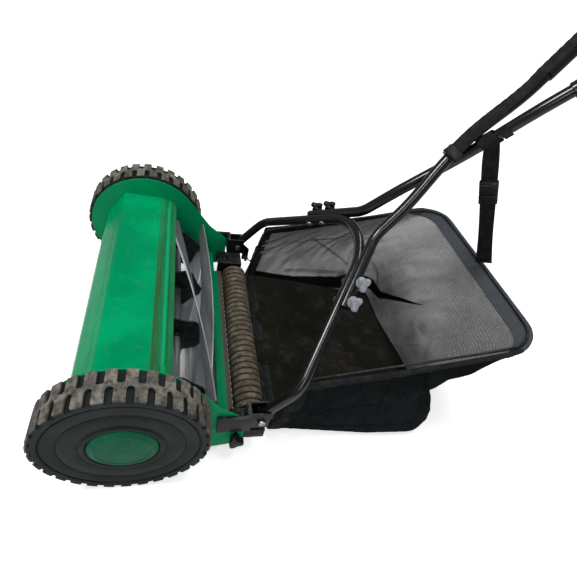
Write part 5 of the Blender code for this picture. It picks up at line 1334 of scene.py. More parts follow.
class MOWER_OT_reel(bpy.types.Operator):
    """Five twisted blades on four star plates and a steel shaft"""
    bl_idname = "mower.reel"
    bl_label = "Blade Reel"

    def execute(self, context):
        for index in range(BLADE_COUNT):
            number = index + 1
            dress(smooth(reel_blade(index), 30.0), "blade_ribbon_%d" % number, "reel", blade_steel,
                  "reel_blade_%d" % number)
        for number, x in enumerate(SPIDER_STATIONS, 1):
            dress(reel_spider(x), "spider_star_%d" % number, "reel", spider_enamel,
                  "reel_spider_%d" % number)
        low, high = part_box("reel_shaft")
        shaft = turned("shaft", [(low.x, 0.0), (low.x, SHAFT_RADIUS - 0.0008),
                                 (low.x + 0.0008, SHAFT_RADIUS), (high.x - 0.0008, SHAFT_RADIUS),
                                 (high.x, SHAFT_RADIUS - 0.0008), (high.x, 0.0)],
                       at(0.0, REEL_Y, REEL_Z), segments=40, closed=False)
        dress(smooth(shaft), "shaft_bar", "reel", blade_steel, "reel_shaft", slot="bright_steel")
        return {"FINISHED"}


# Roller

def roller_profile():
    """Rings with rounded shoulders and a worn groove between each two."""
    pitch = sizes().roller_pitch
    deep = sizes().roller_groove
    count = int(round(2 * ROLLER_HALF / pitch))
    pitch = 2 * ROLLER_HALF / count
    points = [(-ROLLER_HALF, ROLLER_BORE)]
    for i in range(count):
        start = -ROLLER_HALF + i * pitch
        for part, drop in ((0.0, 1.0), (0.09, 0.85), (0.17, 0.30), (0.27, 0.06), (0.5, 0.0),
                           (0.73, 0.06), (0.83, 0.30), (0.91, 0.85)):
            points.append((start + part * pitch, ROLLER_RADIUS - deep * drop))
    points += [(ROLLER_HALF, ROLLER_RADIUS - deep), (ROLLER_HALF, ROLLER_BORE)]
    return points


class MOWER_OT_roller(bpy.types.Operator):
    """Grooved rear roller with its axle, hangers and height knobs"""
    bl_idname = "mower.roller"
    bl_label = "Roller"

    def execute(self, context):
        roller = turned("roller", roller_profile(), at(0.0, ROLLER_Y, ROLLER_Z), segments=72)
        dress(smooth(roller, 50.0), "roller_rings", "roller", roller_wood, "roller")
        coat(zinc_plate, "roller_axle")
        for side in SIDES:
            name = side_name(side, "roller_bracket")
            redress(name, side_name(side, "hanger_plate"), "roller_carriage", bracket_enamel, 0.0005)
            knob = side_name(side, "height_knob")
            redress(knob, side_name(side, "height_wing"), knob, fitting_plastic, 0.0006)
        return {"FINISHED"}


class MOWER_OT_brackets(bpy.types.Operator):
    """Handle brackets with their pivot bolts"""
    bl_idname = "mower.brackets"
    bl_label = "Handle Brackets"

    def execute(self, context):
        for side in SIDES:
            name = side_name(side, "handle_bracket")
            redress(name, side_name(side, "bracket_channel"), "frame", bracket_enamel, 0.0006)
            name = side_name(side, "pivot_bolt")
            redress(name, side_name(side, "pivot_screw"), "frame", zinc_plate, 0.0004)
        return {"FINISHED"}


# Handle paths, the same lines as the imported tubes

def leg_start():
    """Where the straight leg meets the crown arc, as (x, along) in the handle plane."""
    return (ARCH_CROWN_RADIUS * math.cos(LEG_LEAN),
            ARCH_TOP - ARCH_CROWN_RADIUS * (1 - math.sin(LEG_LEAN)))


def leg_point(down, outward=0.0):
    """A point beside the left leg, some way down from the crown and outwards from its axis."""
    x, along = leg_start()
    x += down * math.sin(LEG_LEAN) + outward * math.cos(LEG_LEAN)
    along += -down * math.cos(LEG_LEAN) + outward * math.sin(LEG_LEAN)
    return x, along


def arch_path():
    """Axis of the lower arch, from the left foot over the crown to the right foot."""
    x, along = leg_start()
    down = (FOOT_X - x) / math.sin(LEG_LEAN)
    foot_corner = along - down * math.cos(LEG_LEAN)
    apex = along + x / math.tan(LEG_LEAN)
    corners = [on_handle(FOOT_X, -FOOT_BEYOND_PIVOT), on_handle(FOOT_X, foot_corner),
               on_handle(0.0, apex), on_handle(-FOOT_X, foot_corner),
               on_handle(-FOOT_X, -FOOT_BEYOND_PIVOT)]
    return rounded_path(corners, [ARCH_FOOT_BEND, ARCH_CROWN_RADIUS, ARCH_FOOT_BEND], 18)


def crossing_hump(along):
    part = abs(along - CROSSING) / CROSSING_SPAN
    return math.cos(math.pi / 2 * part) ** 2 if part < 1.0 else 0.0


def crossing_lift(side, along):
    return side * (TUBE_RADIUS + FIT_GAP) * crossing_hump(along)


def crossing_x(side, along):
    lean = LEAN_BELOW_CROSSING if along < CROSSING else LEAN_ABOVE_CROSSING
    return side * lean * (CROSSING - along) + CROSSING_SHIFT * crossing_hump(along)


def upper_tube_path(side):
    """Axis of an upper tube: beside the arch leg, over or under the other tube, to the loop."""
    line_x, line_along = leg_point(0.0, NEST_OFFSET)
    lean, rise = math.sin(LEG_LEAN), math.cos(LEG_LEAN)
    run = line_x - LEAN_BELOW_CROSSING * (CROSSING - line_along)
    run /= lean - LEAN_BELOW_CROSSING * rise
    corner = (line_x - run * lean, line_along + run * rise)
    start = leg_point(NEST_LENGTH, NEST_OFFSET)
    flat = [(side * start[0], start[1], 0.0), (side * corner[0], corner[1], 0.0),
            (crossing_x(side, corner[1] + UPPER_BEND_AHEAD), corner[1] + UPPER_BEND_AHEAD, 0.0)]
    bend = rounded_path(flat, [UPPER_BEND_RADIUS], 14)[:-1]
    points = [on_handle(p.x, p.y, crossing_lift(side, p.y)) for p in bend]
    begin = bend[-1].y + 0.012
    for i in range(41):
        along = begin + (UPPER_TUBE_END - begin) * i / 40
        points.append(on_handle(crossing_x(side, along), along, crossing_lift(side, along)))
    return points


def loop_path():
    """Axis of the top loop, from one upper tube over the cross bar to the other."""
    start_x = LEAN_ABOVE_CROSSING * (SOCKET_START - CROSSING)
    bend_x = LEAN_ABOVE_CROSSING * (LOOP_BEND - CROSSING)
    top_x = bend_x + LOOP_LEAN * (LOOP_TOP - LOOP_BEND)
    half = [on_handle(start_x, SOCKET_START), on_handle(bend_x, LOOP_BEND), on_handle(top_x, LOOP_TOP)]
    corners = half + [on_handle(-start_x, SOCKET_START), on_handle(-bend_x, LOOP_BEND),
                      on_handle(-top_x, LOOP_TOP)][::-1]
    radii = [LOOP_BEND_RADIUS, LOOP_CORNER_RADIUS, LOOP_CORNER_RADIUS, LOOP_BEND_RADIUS]
    return rounded_path(corners, radii, 16)


def beyond(end, before):
    """A point a little past the end of a path, so that a bore comes out there."""
    return end + (end - before).normalized() * 0.01


def tube(name, path, radius, wall):
    """A hollow tube with open ends."""
    ends = [beyond(path[0], path[1])] + path[1:-1] + [beyond(path[-1], path[-2])]
    return carve(rod(name, path, radius, 9), rod("bore", ends, radius - wall, 5))


class MOWER_OT_tubes(bpy.types.Operator):
    """Lower arch, crossing upper tubes and the top loop"""
    bl_idname = "mower.tubes"
    bl_label = "Handle Tubes"

    def execute(self, context):
        arch = tube("arch", arch_path(), TUBE_RADIUS, TUBE_WALL)
        dress(smooth(arch), "arch_tube", "handle", black_enamel, "lower_arch")
        for side in SIDES:
            path = upper_tube_path(side)
            made = rod("upper", path, TUBE_RADIUS, 9)
            inside = path[2:-1] + [beyond(path[-1], path[-2])]
            carve(made, rod("bore", inside, TUBE_RADIUS - TUBE_WALL, 5))
            carve(made, rod("nest", arch_path(), TUBE_RADIUS + FIT_GAP, 9))
            name = side_name(side, "upper_tube")
            dress(smooth(made), side_name(side, "crossing_tube"), "handle", black_enamel, name)
        loop = tube("loop", loop_path(), LOOP_TUBE_RADIUS, LOOP_TUBE_WALL)
        dress(smooth(loop), "loop_tube", "handle", black_enamel, "handle_loop")
        return {"FINISHED"}


class MOWER_OT_grips(bpy.types.Operator):
    """Foam grips on the cross bar of the loop"""
    bl_idname = "mower.grips"
    bl_label = "Grips"

    def execute(self, context):
        bore = LOOP_TUBE_RADIUS + FIT_GAP
        start, end = GRIP_START, GRIP_START + GRIP_LENGTH
        points = [(start, bore), (start, GRIP_RADIUS - 0.0035), (start + 0.0012, GRIP_RADIUS - 0.0012),
                  (start + 0.0040, GRIP_RADIUS)]
        for i in range(1, 24):
            part = i / 24
            wave = 0.0004 * math.cos(10 * math.pi * part) - 0.0005 * math.sin(math.pi * part)
            points.append((start + 0.004 + part * (GRIP_LENGTH - 0.008), GRIP_RADIUS + min(wave, 0.0)))
        points += [(end - 0.0040, GRIP_RADIUS), (end - 0.0012, GRIP_RADIUS - 0.0012),
                   (end, GRIP_RADIUS - 0.0035), (end, bore)]
        grip = smooth(turned("grip", points, on_handle(0.0, LOOP_TOP), segments=56), 50.0)
        other = smooth(mirror_copy(grip, "grip_2"), 50.0)
        for side, piece in ((1, grip), (-1, other)):
            dress(piece, side_name(side, "foam_grip"), "handle", grip_foam, side_name(side, "grip"))
        return {"FINISHED"}


# Joint knobs, bolts and rivet

def lobed_knob(name):
    """Three-lobed wing knob standing on Z, with a collar below and a low domed button on its face."""
    outline = []
    for i in range(72):
        a = 2 * math.pi * i / 72
        radius = KNOB_RADIUS * (1.0 - KNOB_LOBE_DEPTH * (0.5 - 0.5 * math.cos(3 * a)))
        outline.append((radius * math.cos(a), radius * math.sin(a)))
    head_height = KNOB_LENGTH - KNOB_COLLAR
    head = plate(name, [outline], head_height, 0.0026, 4)
    settle(head, Vector((0.0, 0.0, KNOB_COLLAR + head_height / 2)))
    top = KNOB_COLLAR + 0.001
    collar = turned("collar", [(0.0, 0.0032), (0.0, 0.0068), (0.001, 0.0076), (top, 0.0066),
                               (top, 0.0032)], ORIGIN, UP, 40)
    button = turned("button", [(KNOB_LENGTH - 0.001, 0.0), (KNOB_LENGTH - 0.001, 0.0052),
                               (KNOB_LENGTH + 0.0003, 0.0046), (KNOB_LENGTH + 0.0005, 0.0)],
                    ORIGIN, UP, 40, closed=False)
    return smooth(joined(name, [head, collar, button]), 45.0)


def domed_bolt(name, length):
    """Round-headed bolt along Z; the head is below the seat."""
    head = [(-0.0040, 0.0), (-0.0039, 0.0018), (-0.0034, 0.0036), (-0.0022, 0.0050), (-0.0006, 0.0055),
            (0.0, 0.0055)]
    shank = [(0.0, 0.0030), (length - 0.0006, 0.0030), (length, 0.0025), (length, 0.0)]
    return smooth(turned(name, head + shank, ORIGIN, UP, 36, closed=False))


class MOWER_OT_joints(bpy.types.Operator):
    """Wing knobs and bolts where the upper tubes join the arch, and the crossing rivet"""
    bl_idname = "mower.joints"
    bl_label = "Handle Joints"

    def execute(self, context):
        for side in SIDES:
            for number, down in enumerate(NEST_BOLT_STEPS, 1):
                inner = leg_point(down)
                outer = leg_point(down, 0.01)
                out = on_handle(side * outer[0], outer[1]) - on_handle(side * inner[0], inner[1])
                turn = UP.rotation_difference(out.normalized())
                seat = leg_point(down, NEST_OFFSET + TUBE_RADIUS + FIT_GAP)
                spot = on_handle(side * seat[0], seat[1])
                knob = side_name(side, "joint_knob_%d" % number)
                piece = settle(lobed_knob("knob"), spot, turn)
                # The right-hand knobs take the black fitting plastic instead of the grey knob plastic:
                # painted shade on the far joint.
                dress(piece, side_name(side, "wing_knob_%d" % number), knob,
                      knob_plastic if side > 0 else fitting_plastic, knob, slot="knob_plastic")
                head = leg_point(down, -(TUBE_RADIUS + FIT_GAP))
                reach = 2 * TUBE_RADIUS + 2 * FIT_GAP + NEST_OFFSET + KNOB_LENGTH * 0.8
                piece = settle(domed_bolt("bolt", reach), on_handle(side * head[0], head[1]), turn)
                name = side_name(side, "joint_bolt_%d" % number)
                dress(piece, side_name(side, "dome_bolt_%d" % number), "handle", zinc_plate, name)
        reach = 2 * TUBE_RADIUS + FIT_GAP
        start = on_handle(CROSSING_SHIFT, CROSSING, -reach)
        end = on_handle(CROSSING_SHIFT, CROSSING, reach)
        span = (end - start).length
        rivet = turned("rivet", [(-0.0008, 0.0), (-0.0006, 0.0020), (0.0, 0.0030), (span, 0.0030),
                                 (span + 0.0006, 0.0020), (span + 0.0008, 0.0)], start, end - start, 28,
                       closed=False)
        dress(smooth(rivet), "crossing_pin", "handle", zinc_plate, "crossing_rivet")
        return {"FINISHED"}


# Webbing on the handle

def beside_left_tube(along, reach):
    """A point at some reach from the left tube's axis, and the direction across a band there."""
    part = part_of(along, GLIDE_START, BAND_TURN_END - GLIDE_START)
    turn = BAND_TURN * (1.0 - part)
    normal = (on_handle(0.0, 0.0, 1.0) - on_handle(0.0, 0.0)).normalized()
    outward = normal * math.cos(turn) + X_WAY * math.sin(turn)
    across = X_WAY * math.cos(turn) - normal * math.sin(turn)
    axis = on_handle(crossing_x(1, along), along, crossing_lift(1, along))
    return axis + outward * reach, across, outward


def webbing(name, stations, thickness, arch):
    """A flat woven strap through stations of (centre, across, outward, width)."""
    rows = []
    for centre, across, outward, width in stations:
        row = []
        for j in range(WEBBING_COLUMNS):
            part = 2 * j / (WEBBING_COLUMNS - 1) - 1
            drop = arch * (1.0 - math.cos(part * 1.3))
            row.append(centre + across * (part * width / 2) - outward * drop)
        rows.append(row)
    strap = surface(name, rows)
    thicken(strap, thickness)
    bevel(strap, thickness * 0.3, 2, 50.0)
    return smooth(strap, 50.0)


class MOWER_OT_handle_band(bpy.types.Operator):
    """Woven band along the left tube, held by a slider and stitched round the loop"""
    bl_idname = "mower.handle_band"
    bl_label = "Handle Band"

    def execute(self, context):
        over_tube = TUBE_RADIUS + 2 * FIT_GAP + BAND_THICKNESS / 2
        over_loop = LOOP_TUBE_RADIUS + FIT_GAP + BAND_THICKNESS / 2
        start = GLIDE_START + GLIDE_LENGTH * 0.4
        stations = []
        for i in range(65):
            along = start + (BAND_END - start) * i / 64
            rise = part_of(along, SOCKET_START - 0.022, 0.018)
            reach = over_tube + (over_loop - over_tube) * rise
            centre, across, outward = beside_left_tube(along, reach)
            ripple = outward * 0.0004 * math.sin(46.0 * i)
            stations.append((centre + ripple, across, outward, BAND_WIDTH))
        band = webbing("band", stations, BAND_THICKNESS, 0.0035)
        bore = LOOP_TUBE_RADIUS + FIT_GAP
        wrap_start = on_handle(crossing_x(1, BAND_END - BAND_WRAP), BAND_END - BAND_WRAP)
        wrap_end = on_handle(crossing_x(1, BAND_END), BAND_END)
        profile = [(0.0, bore), (0.0, bore + 0.0014), (0.001, bore + 0.002),
                   (BAND_WRAP - 0.001, bore + 0.002), (BAND_WRAP, bore + 0.0014), (BAND_WRAP, bore)]
        wrap = smooth(turned("wrap", profile, wrap_start, wrap_end - wrap_start, 40))
        dress(joined("band", [band, wrap]), "tube_band", "handle", strap_weave, "handle_webbing")
        glide_middle = GLIDE_START + GLIDE_LENGTH / 2
        centre, across, _ = beside_left_tube(glide_middle, TUBE_RADIUS + 0.0026)
        run = on_handle(0.0, 1.0) - on_handle(0.0, 0.0)
        ring = [(x * 0.0125, y * 0.0075) for x, y in ((-1, -1), (1, -1), (1, 1), (-1, 1))]
        slots = [[(-0.0095, low), (0.0095, low), (0.0095, low + 0.0034), (-0.0095, low + 0.0034)]
                 for low in (-0.0052, 0.0016)]
        slider = plate("slider", [ring] + slots, 0.0034, 0.0008, 2)
        settle(slider, centre, turn_to(across, run, across.cross(run)))
        foot = refined("tri_glide", 0.0008)
        dress(smooth(joined("slider", [slider, foot])), "band_slider", "handle", fitting_plastic,
              "tri_glide")
        return {"FINISHED"}


# Bag cloth

def bag_plan(level):
    """Plan of the bag at a level from 0 (floor) to 1 (rim), front left to rear middle."""
    front_y = BAG_FLOOR[0] + (BAG_RIM[0] - BAG_FLOOR[0]) * level
    rear_y = BAG_FLOOR[1] + (BAG_RIM[1] - BAG_FLOOR[1]) * level ** BAG_REAR_FLARE - CLOTH_HALF
    belly = BAG_BELLY * math.sin(math.pi * level)
    front_x, rear_x = (low + (high - low) * level + belly - CLOTH_HALF
                       for low, high in zip(BAG_FLOOR[2:], BAG_RIM[2:]))
    front_z, rear_z = (BAG_BOTTOM + (high - BAG_BOTTOM) * level for high in BAG_RIM_HEIGHTS)
    flat = [(front_x, front_y, 0.0), (rear_x, rear_y, 0.0), (0.0, rear_y, 0.0)]
    path = rounded_path(flat, [BAG_CORNER_RADIUS - CLOTH_HALF], CORNER_STEPS)
    first, arc, last = path[0], path[1:-1], path[-1]
    side = [first.lerp(arc[0], i / SIDE_STEPS) for i in range(SIDE_STEPS)]
    rear = [arc[-1].lerp(last, i / REAR_STEPS) for i in range(1, REAR_STEPS + 1)]
    slope = (rear_z - front_z) / (rear_y - front_y)
    return [Vector((p.x, p.y, front_z + slope * (p.y - front_y))) for p in side + arc + rear]


def slack_in(y, level):
    """How far the far wall leans inwards near its foot at a distance behind the axle."""
    reach = SLACK_LEAST + SLACK_MORE * part_of(y, BAG_MOUTH, 0.32) ** 1.3
    return reach * max(1.0 - level / 0.8, 0.0) ** 1.6


def pinch(x, y, level):
    """How far forward the wall is drawn in at the waist of the rear corners."""
    corner = part_of(abs(x), 0.07, 0.11)
    waist = math.exp(-((level - 0.47) / 0.23) ** 2)
    return (PINCH_LEFT if x > 0 else PINCH_RIGHT) * corner ** 1.3 * part_of(y, 0.36, 0.13) * waist


def outward_belly(y, level):
    """How far the near wall stands out low down, where the cloth is full."""
    return NEAR_BELLY * part_of(y, 0.24, 0.14) * math.exp(-((level - 0.08) / 0.24) ** 2)


def eased(part):
    part = min(max(part, 0.0), 1.0)
    return part * part * (3.0 - 2.0 * part)


def folds(run, level, seed):
    """Soft drape of a wall: slow billows, slanting folds and small puckers under the rim tape."""
    slow = perlin.noise(Vector((run * 9.0, level * 2.2, seed)))
    slant = perlin.noise(Vector((run * 30.0 + level * 3.0, level * 3.4, seed + 7.0)))
    fine = perlin.noise(Vector((run * 95.0, level * 7.0, seed + 13.0)))
    hold = math.sin(math.pi * min(max(level, 0.0), 1.0)) ** 0.7
    pucker = max(0.0, 1.0 - abs(level - 0.86) / 0.12)
    height = 0.8 * slow * hold + 1.1 * slant * hold + 0.16 * fine + 0.22 * fine * pucker
    return sizes().fold_depth * height


def wall_rows():
    """Rows of points of the whole wall, front left round the rear to front right."""
    rows = []
    for i in range(WALL_LEVELS + 1):
        level = i / WALL_LEVELS
        half = bag_plan(level)
        row = half + [Vector((-p.x, p.y, p.z)) for p in reversed(half[:-1])]
        last = len(row) - 1
        moved = []
        run = 0.0
        for j, point in enumerate(row):
            before, after = row[max(j - 1, 0)], row[min(j + 1, last)]
            out = Vector((after.y - before.y, before.x - after.x, 0.0)).normalized()
            run += (point - before).length
            push = min(folds(run * 2.0, level, 3.0), FOLD_LIMIT)
            point = point - Vector((0.0, pinch(point.x, point.y, level), 0.0))
            far = eased((0.08 - point.x) / 0.16)
            near_mouth = max(part_of(point.y, BAG_MOUTH, 0.05), 0.15)
            facing = min(1.0, abs(out.x) + 0.25 * part_of(last - j, 0, 6))
            push -= far * slack_in(point.y, level) * near_mouth * facing
            push += (1.0 - far) * outward_belly(point.y, level) * abs(out.x)
            sag = -RIM_SAG * math.sin(math.pi * part_of(point.y, BAG_RIM[0], 0.33)) * level ** 6
            moved.append(point + out * push + Vector((0.0, 0.0, CLOTH_HALF + sag)))
        rows.append(moved)
    return rows


def bag_floor_rows(border):
    """Floor rows joining the two ends of the lowest wall row, with low scuffed bumps."""
    count = len(border)
    corner = SIDE_STEPS + CORNER_STEPS
    across = count - 1 - 2 * corner
    rows = []
    for i in range(corner + 1):
        first, last = border[i], border[count - 1 - i]
        row = []
        for j in range(across + 1):
            part = j / across
            point = border[corner + j] if i == corner else first.lerp(last, part)
            hold = math.sin(math.pi * part) * min((corner - i) / 8, 1.0)
            dent = perlin.noise(Vector((point.x * 14.0, point.y * 14.0, 5.0))) * 0.0035
            row.append(point + Vector((0.0, 0.0, max(0.0, hold * (0.0015 + dent)))))
        rows.append(row)
    return rows


def placed(rows):
    return [[at(p.x, p.y, p.z) for p in row] for row in rows]


# Sections of the folded strips: (part of the height, inside positive, and stand-off) over the rim,
# (part of the width, push) round a front edge, and (way back, rise) round the floor's front
RIM_FOLD = ((1.0, 0.0030), (0.62, 0.0029), (0.30, 0.0028), (0.10, 0.0034), (0.0, 0.0),
            (-0.10, 0.0034), (-0.30, 0.0026), (-0.62, 0.0022), (-0.85, 0.0020))
EDGE_FOLD = ((1.0, -0.0018), (0.5, -0.0019), (0.1, -0.0016), (-0.02, 0.0), (0.1, 0.0016), (0.5, 0.0019),
             (1.0, 0.0018))
FLOOR_FOLD = ((0.020, 0.0020), (0.010, 0.0021), (0.002, 0.0020), (-0.0012, 0.0006), (0.002, -0.0011),
              (0.012, -0.0012))


def below_rim(wall, column, drop):
    """A point of the wall some way down from its rim, and the direction out of the wall."""
    rim = wall[-1]
    top = rim[column]
    side = rim[min(column + 1, len(rim) - 1)] - rim[max(column - 1, 0)]
    out = Vector((side.y, -side.x, 0.0)).normalized()
    level = len(wall) - 1
    while level > 1 and (top - wall[level][column]).length < drop:
        level -= 1
    below = wall[level][column]
    return top.lerp(below, min(drop / max((top - below).length, 0.0001), 1.0)), out


def tape_rows(wall, columns, height, full):
    """A strip folded over the rim: down the inside, over the wire and down the outside."""
    rows = []
    for share, proud in RIM_FOLD:
        row = []
        for column in columns:
            point, out = below_rim(wall, column, height * abs(share))
            crown = 0.0 if share else TAPE_CROWN
            row.append(point - out * math.copysign(proud * full, share) + Vector((0.0, 0.0, crown)))
        rows.append(row)
    return rows


def binding_rows(wall, side):
    """A strip folded round one front edge of the wall, from the floor to the rim."""
    end = 0 if side > 0 else -1
    rows = []
    for share, push in EDGE_FOLD:
        row = []
        for points in wall:
            edge = points[end]
            run = points[end + 2 * side] - edge
            out = Vector((run.y, -run.x, 0.0)).normalized() * side
            row.append(edge + run.normalized() * (sizes().front_tape * share) + out * push)
        rows.append(row)
    return rows


def bag_strip(name, rows, builder, thickness=0.0010):
    strip = surface(name, placed(rows))
    modify(strip, "SUBSURF", levels=1, render_levels=1)
    thicken(strip, thickness)
    return dress(smooth(strip, 50.0), name, "bag", builder)


def stitch_row(line, pitch):
    """Short rods along a line, one curve of many runs."""
    runs, here, covered = [], [], 0.0
    for first, second in zip(line, line[1:]):
        span = (second - first).length
        parts = max(1, int(span / (pitch / 4)))
        for i in range(parts):
            if (covered + span * i / parts) % pitch < pitch * STITCH_SHARE:
                here.append(first.lerp(second, i / parts))
                continue
            if len(here) > 1:
                runs.append(here)
            here = []
        covered += span
    curve = drawn_line("stitches", runs)
    curve.data.bevel_depth = STITCH_RADIUS
    curve.data.bevel_resolution = 0
    curve.data.use_fill_caps = True
    return close_shell(as_mesh(curve))


def bag_stitches(wall):
    """Rows of short threads along the rear tape, inside and outside."""
    rows = []
    for drop, way in ((0.024, -1.0), (0.020, 1.0)):
        line = []
        for column in range(SIDE_STEPS + 3, len(wall[0]) - SIDE_STEPS - 3):
            point, out = below_rim(wall, column, drop)
            line.append(at(*(point + out * way * 0.0036)))
        rows.append(stitch_row(line, sizes().stitch_length))
    return joined("bag_stitches", rows)


class MOWER_OT_bag(bpy.types.Operator):
    """Grass bag: sagging cloth walls on a wire rim, black floor, taped rim and bound front edges"""
    bl_idname = "mower.bag"
    bl_label = "Grass Bag"

    def execute(self, context):
        wall = wall_rows()
        shell = surface("wall", placed(wall))
        floor = surface("floor", placed(bag_floor_rows(wall[0])))
        area = sum(face.area for face in shell.data.polygons)
        area += sum(face.area for face in floor.data.polygons)
        for builder in (outer_cloth, lining_cloth, floor_cloth):
            shell.data.materials.append(finish(builder))
        floor.data.materials.append(finish(floor_cloth))
        thicken(shell, CLOTH_HALF * 2)
        thicken(floor, CLOTH_HALF * 2)
        for face in shell.data.polygons:
            inwards = Vector((-face.center.x, AXLE_Y + BAG_MIDDLE - face.center.y, 0.0))
            if face.normal.dot(inwards) > 0.0:
                face.material_index = 1
        bag = smooth(joined("bag_cloth", [shell, floor]), 60.0)
        dress(bag, "bag_cloth", "bag", None, "grass_bag", slot="bag_cloth")

        count = len(wall[0])
        rear = range(SIDE_STEPS + 2, count - SIDE_STEPS - 2)
        left = range(0, SIDE_STEPS + 4)
        right = range(count - SIDE_STEPS - 4, count)
        for name, columns, height, full, builder in (
                ("rear_rim_tape", rear, sizes().rear_tape, 1.0, rim_tape),
                ("left_rim_tape", left, sizes().side_tape, 1.15, edge_tape),
                ("right_rim_tape", right, sizes().side_tape, 1.15, edge_tape)):
            bag_strip(name, tape_rows(wall, columns, height, full), builder)
        for side in SIDES:
            name = side_name(side, "front_binding")
            bag_strip(name, binding_rows(wall, side), edge_tape)
        ends = wall[0][0], wall[0][-1]
        front = [[ends[0].lerp(ends[1], i / 40) + Vector((0.0, back, rise)) for i in range(41)]
                 for back, rise in FLOOR_FOLD]
        bag_strip("floor_binding", front, edge_tape, 0.0009)

        dress(bag_stitches(wall), "bag_stitches", "bag", stitch_thread)
        wire = refined("bag_frame", 0.0)
        modify(wire, "SUBSURF", levels=1, render_levels=1)
        dress(smooth(wire, 60.0), "rim_wire", "bag", bracket_enamel, "bag_frame")
        return {"FINISHED"}


# Strap that holds up the rear of the bag

def right_tube_point(along):
    return on_handle(crossing_x(-1, along), along, crossing_lift(-1, along))


def strap_line():
    """Tube axis, top, bottom and direction of the strap."""
    axis = right_tube_point(STRAP_STATION)
    rim = at(0.0, BAG_RIM[1] - 0.004, BAG_RIM_HEIGHTS[1] + 0.002)
    drop = (rim - axis).normalized()
    top = axis + drop * (TUBE_RADIUS + STRAP_THICKNESS + 3 * FIT_GAP)
    return axis, top, rim - drop * 0.004, drop


def strap_faces(drop):
    """The strap hangs a little turned: the directions across it and out of it, and across unturned."""
    flat = drop.cross(X_WAY).normalized()
    wide = flat * math.cos(STRAP_TURN) + drop.cross(flat) * math.sin(STRAP_TURN)
    return wide, drop.cross(wide), flat


def strap_block(low, high, half_width, half_depth, edge, segments=3):
    """A rounded box standing between two distances down the strap."""
    piece = block("part", (-half_width, -half_depth, low), (half_width, half_depth, high))
    return bevel(piece, edge, segments)


def side_block(middle, inner, outer, deep, low, high, edge=0.0):
    """A box beside the strap's middle line, between two distances down the strap."""
    piece = block("part", (middle - inner, -deep, low), (middle + outer, deep, high))
    return bevel(piece, edge, 2) if edge else piece


def buckle_part(parts, name, node):
    """Join parts drawn with Z down the strap and X across it, and turn them into place."""
    piece = joined("part", parts)
    for vertex in piece.data.vertices:
        vertex.co.x = max(min(vertex.co.x, BUCKLE_WIDTH / 2), -BUCKLE_WIDTH / 2)
    _, top, _, drop = strap_line()
    wide, face, _ = strap_faces(drop)
    settle(piece, top, turn_to(wide, face, drop))
    dress(smooth(piece), name, "strap", fitting_plastic, node)


def buckle_socket(middle):
    """Socket of the buckle: a shell with notched sides, a mouth, ribs and webbing bars."""
    half, deep = BUCKLE_WIDTH / 2, BUCKLE_THICKNESS / 2
    socket = strap_block(BUCKLE_START + 0.006, middle, half, deep, 0.0022)
    for side in SIDES:
        carve(socket, side_block(side * half, 0.003, 0.003, 0.0026, middle - 0.014, middle - 0.004))
    mouth = block("mouth", (-half + 0.0026, -deep + 0.0018, middle - 0.0035),
                  (half - 0.0026, deep - 0.0018, middle + 0.01))
    carve(socket, mouth)
    for low in (0.0085, 0.0115, 0.0145):
        rib = block("rib", (-half * 0.55, -deep - 0.0006, BUCKLE_START + low),
                    (half * 0.55, -deep + 0.001, BUCKLE_START + low + 0.0014))
        carve(socket, bevel(rib, 0.0004, 2), "UNION")
    bars = [strap_block(BUCKLE_START, BUCKLE_START + 0.0032, half, deep * 0.62, 0.0014)]
    bars += [side_block(side * half, 0.0022, 0.0022, deep * 0.62, BUCKLE_START + 0.0005,
                        BUCKLE_START + 0.009, 0.0010) for side in SIDES]
    buckle_part([socket] + bars, "buckle_shell", "buckle_socket")


def buckle_plug(middle, start, end):
    """Plug of the buckle: a tongue, two prongs, finger pads and webbing bars."""
    half, deep = BUCKLE_WIDTH / 2, BUCKLE_THICKNESS / 2
    parts = [strap_block(start, start + 0.008, half, deep, 0.0018),
             strap_block(middle - 0.010, start + 0.004, half - 0.0045, deep - 0.0032, 0.0008, 2)]
    for side in SIDES:
        parts.append(side_block(side * (half - 0.0012), 0.0016, 0.0010, 0.0018, middle - 0.0125,
                                middle + 0.003, 0.0007))
        parts.append(side_block(side * half, 0.0042, 0.0, deep * 0.7, start + 0.006, end, 0.0012))
    for low in (start + 0.010, end - 0.0035):
        parts.append(strap_block(low, low + 0.0033, half, deep * 0.6, 0.0012))
    buckle_part(parts, "buckle_tongue", "buckle_plug")


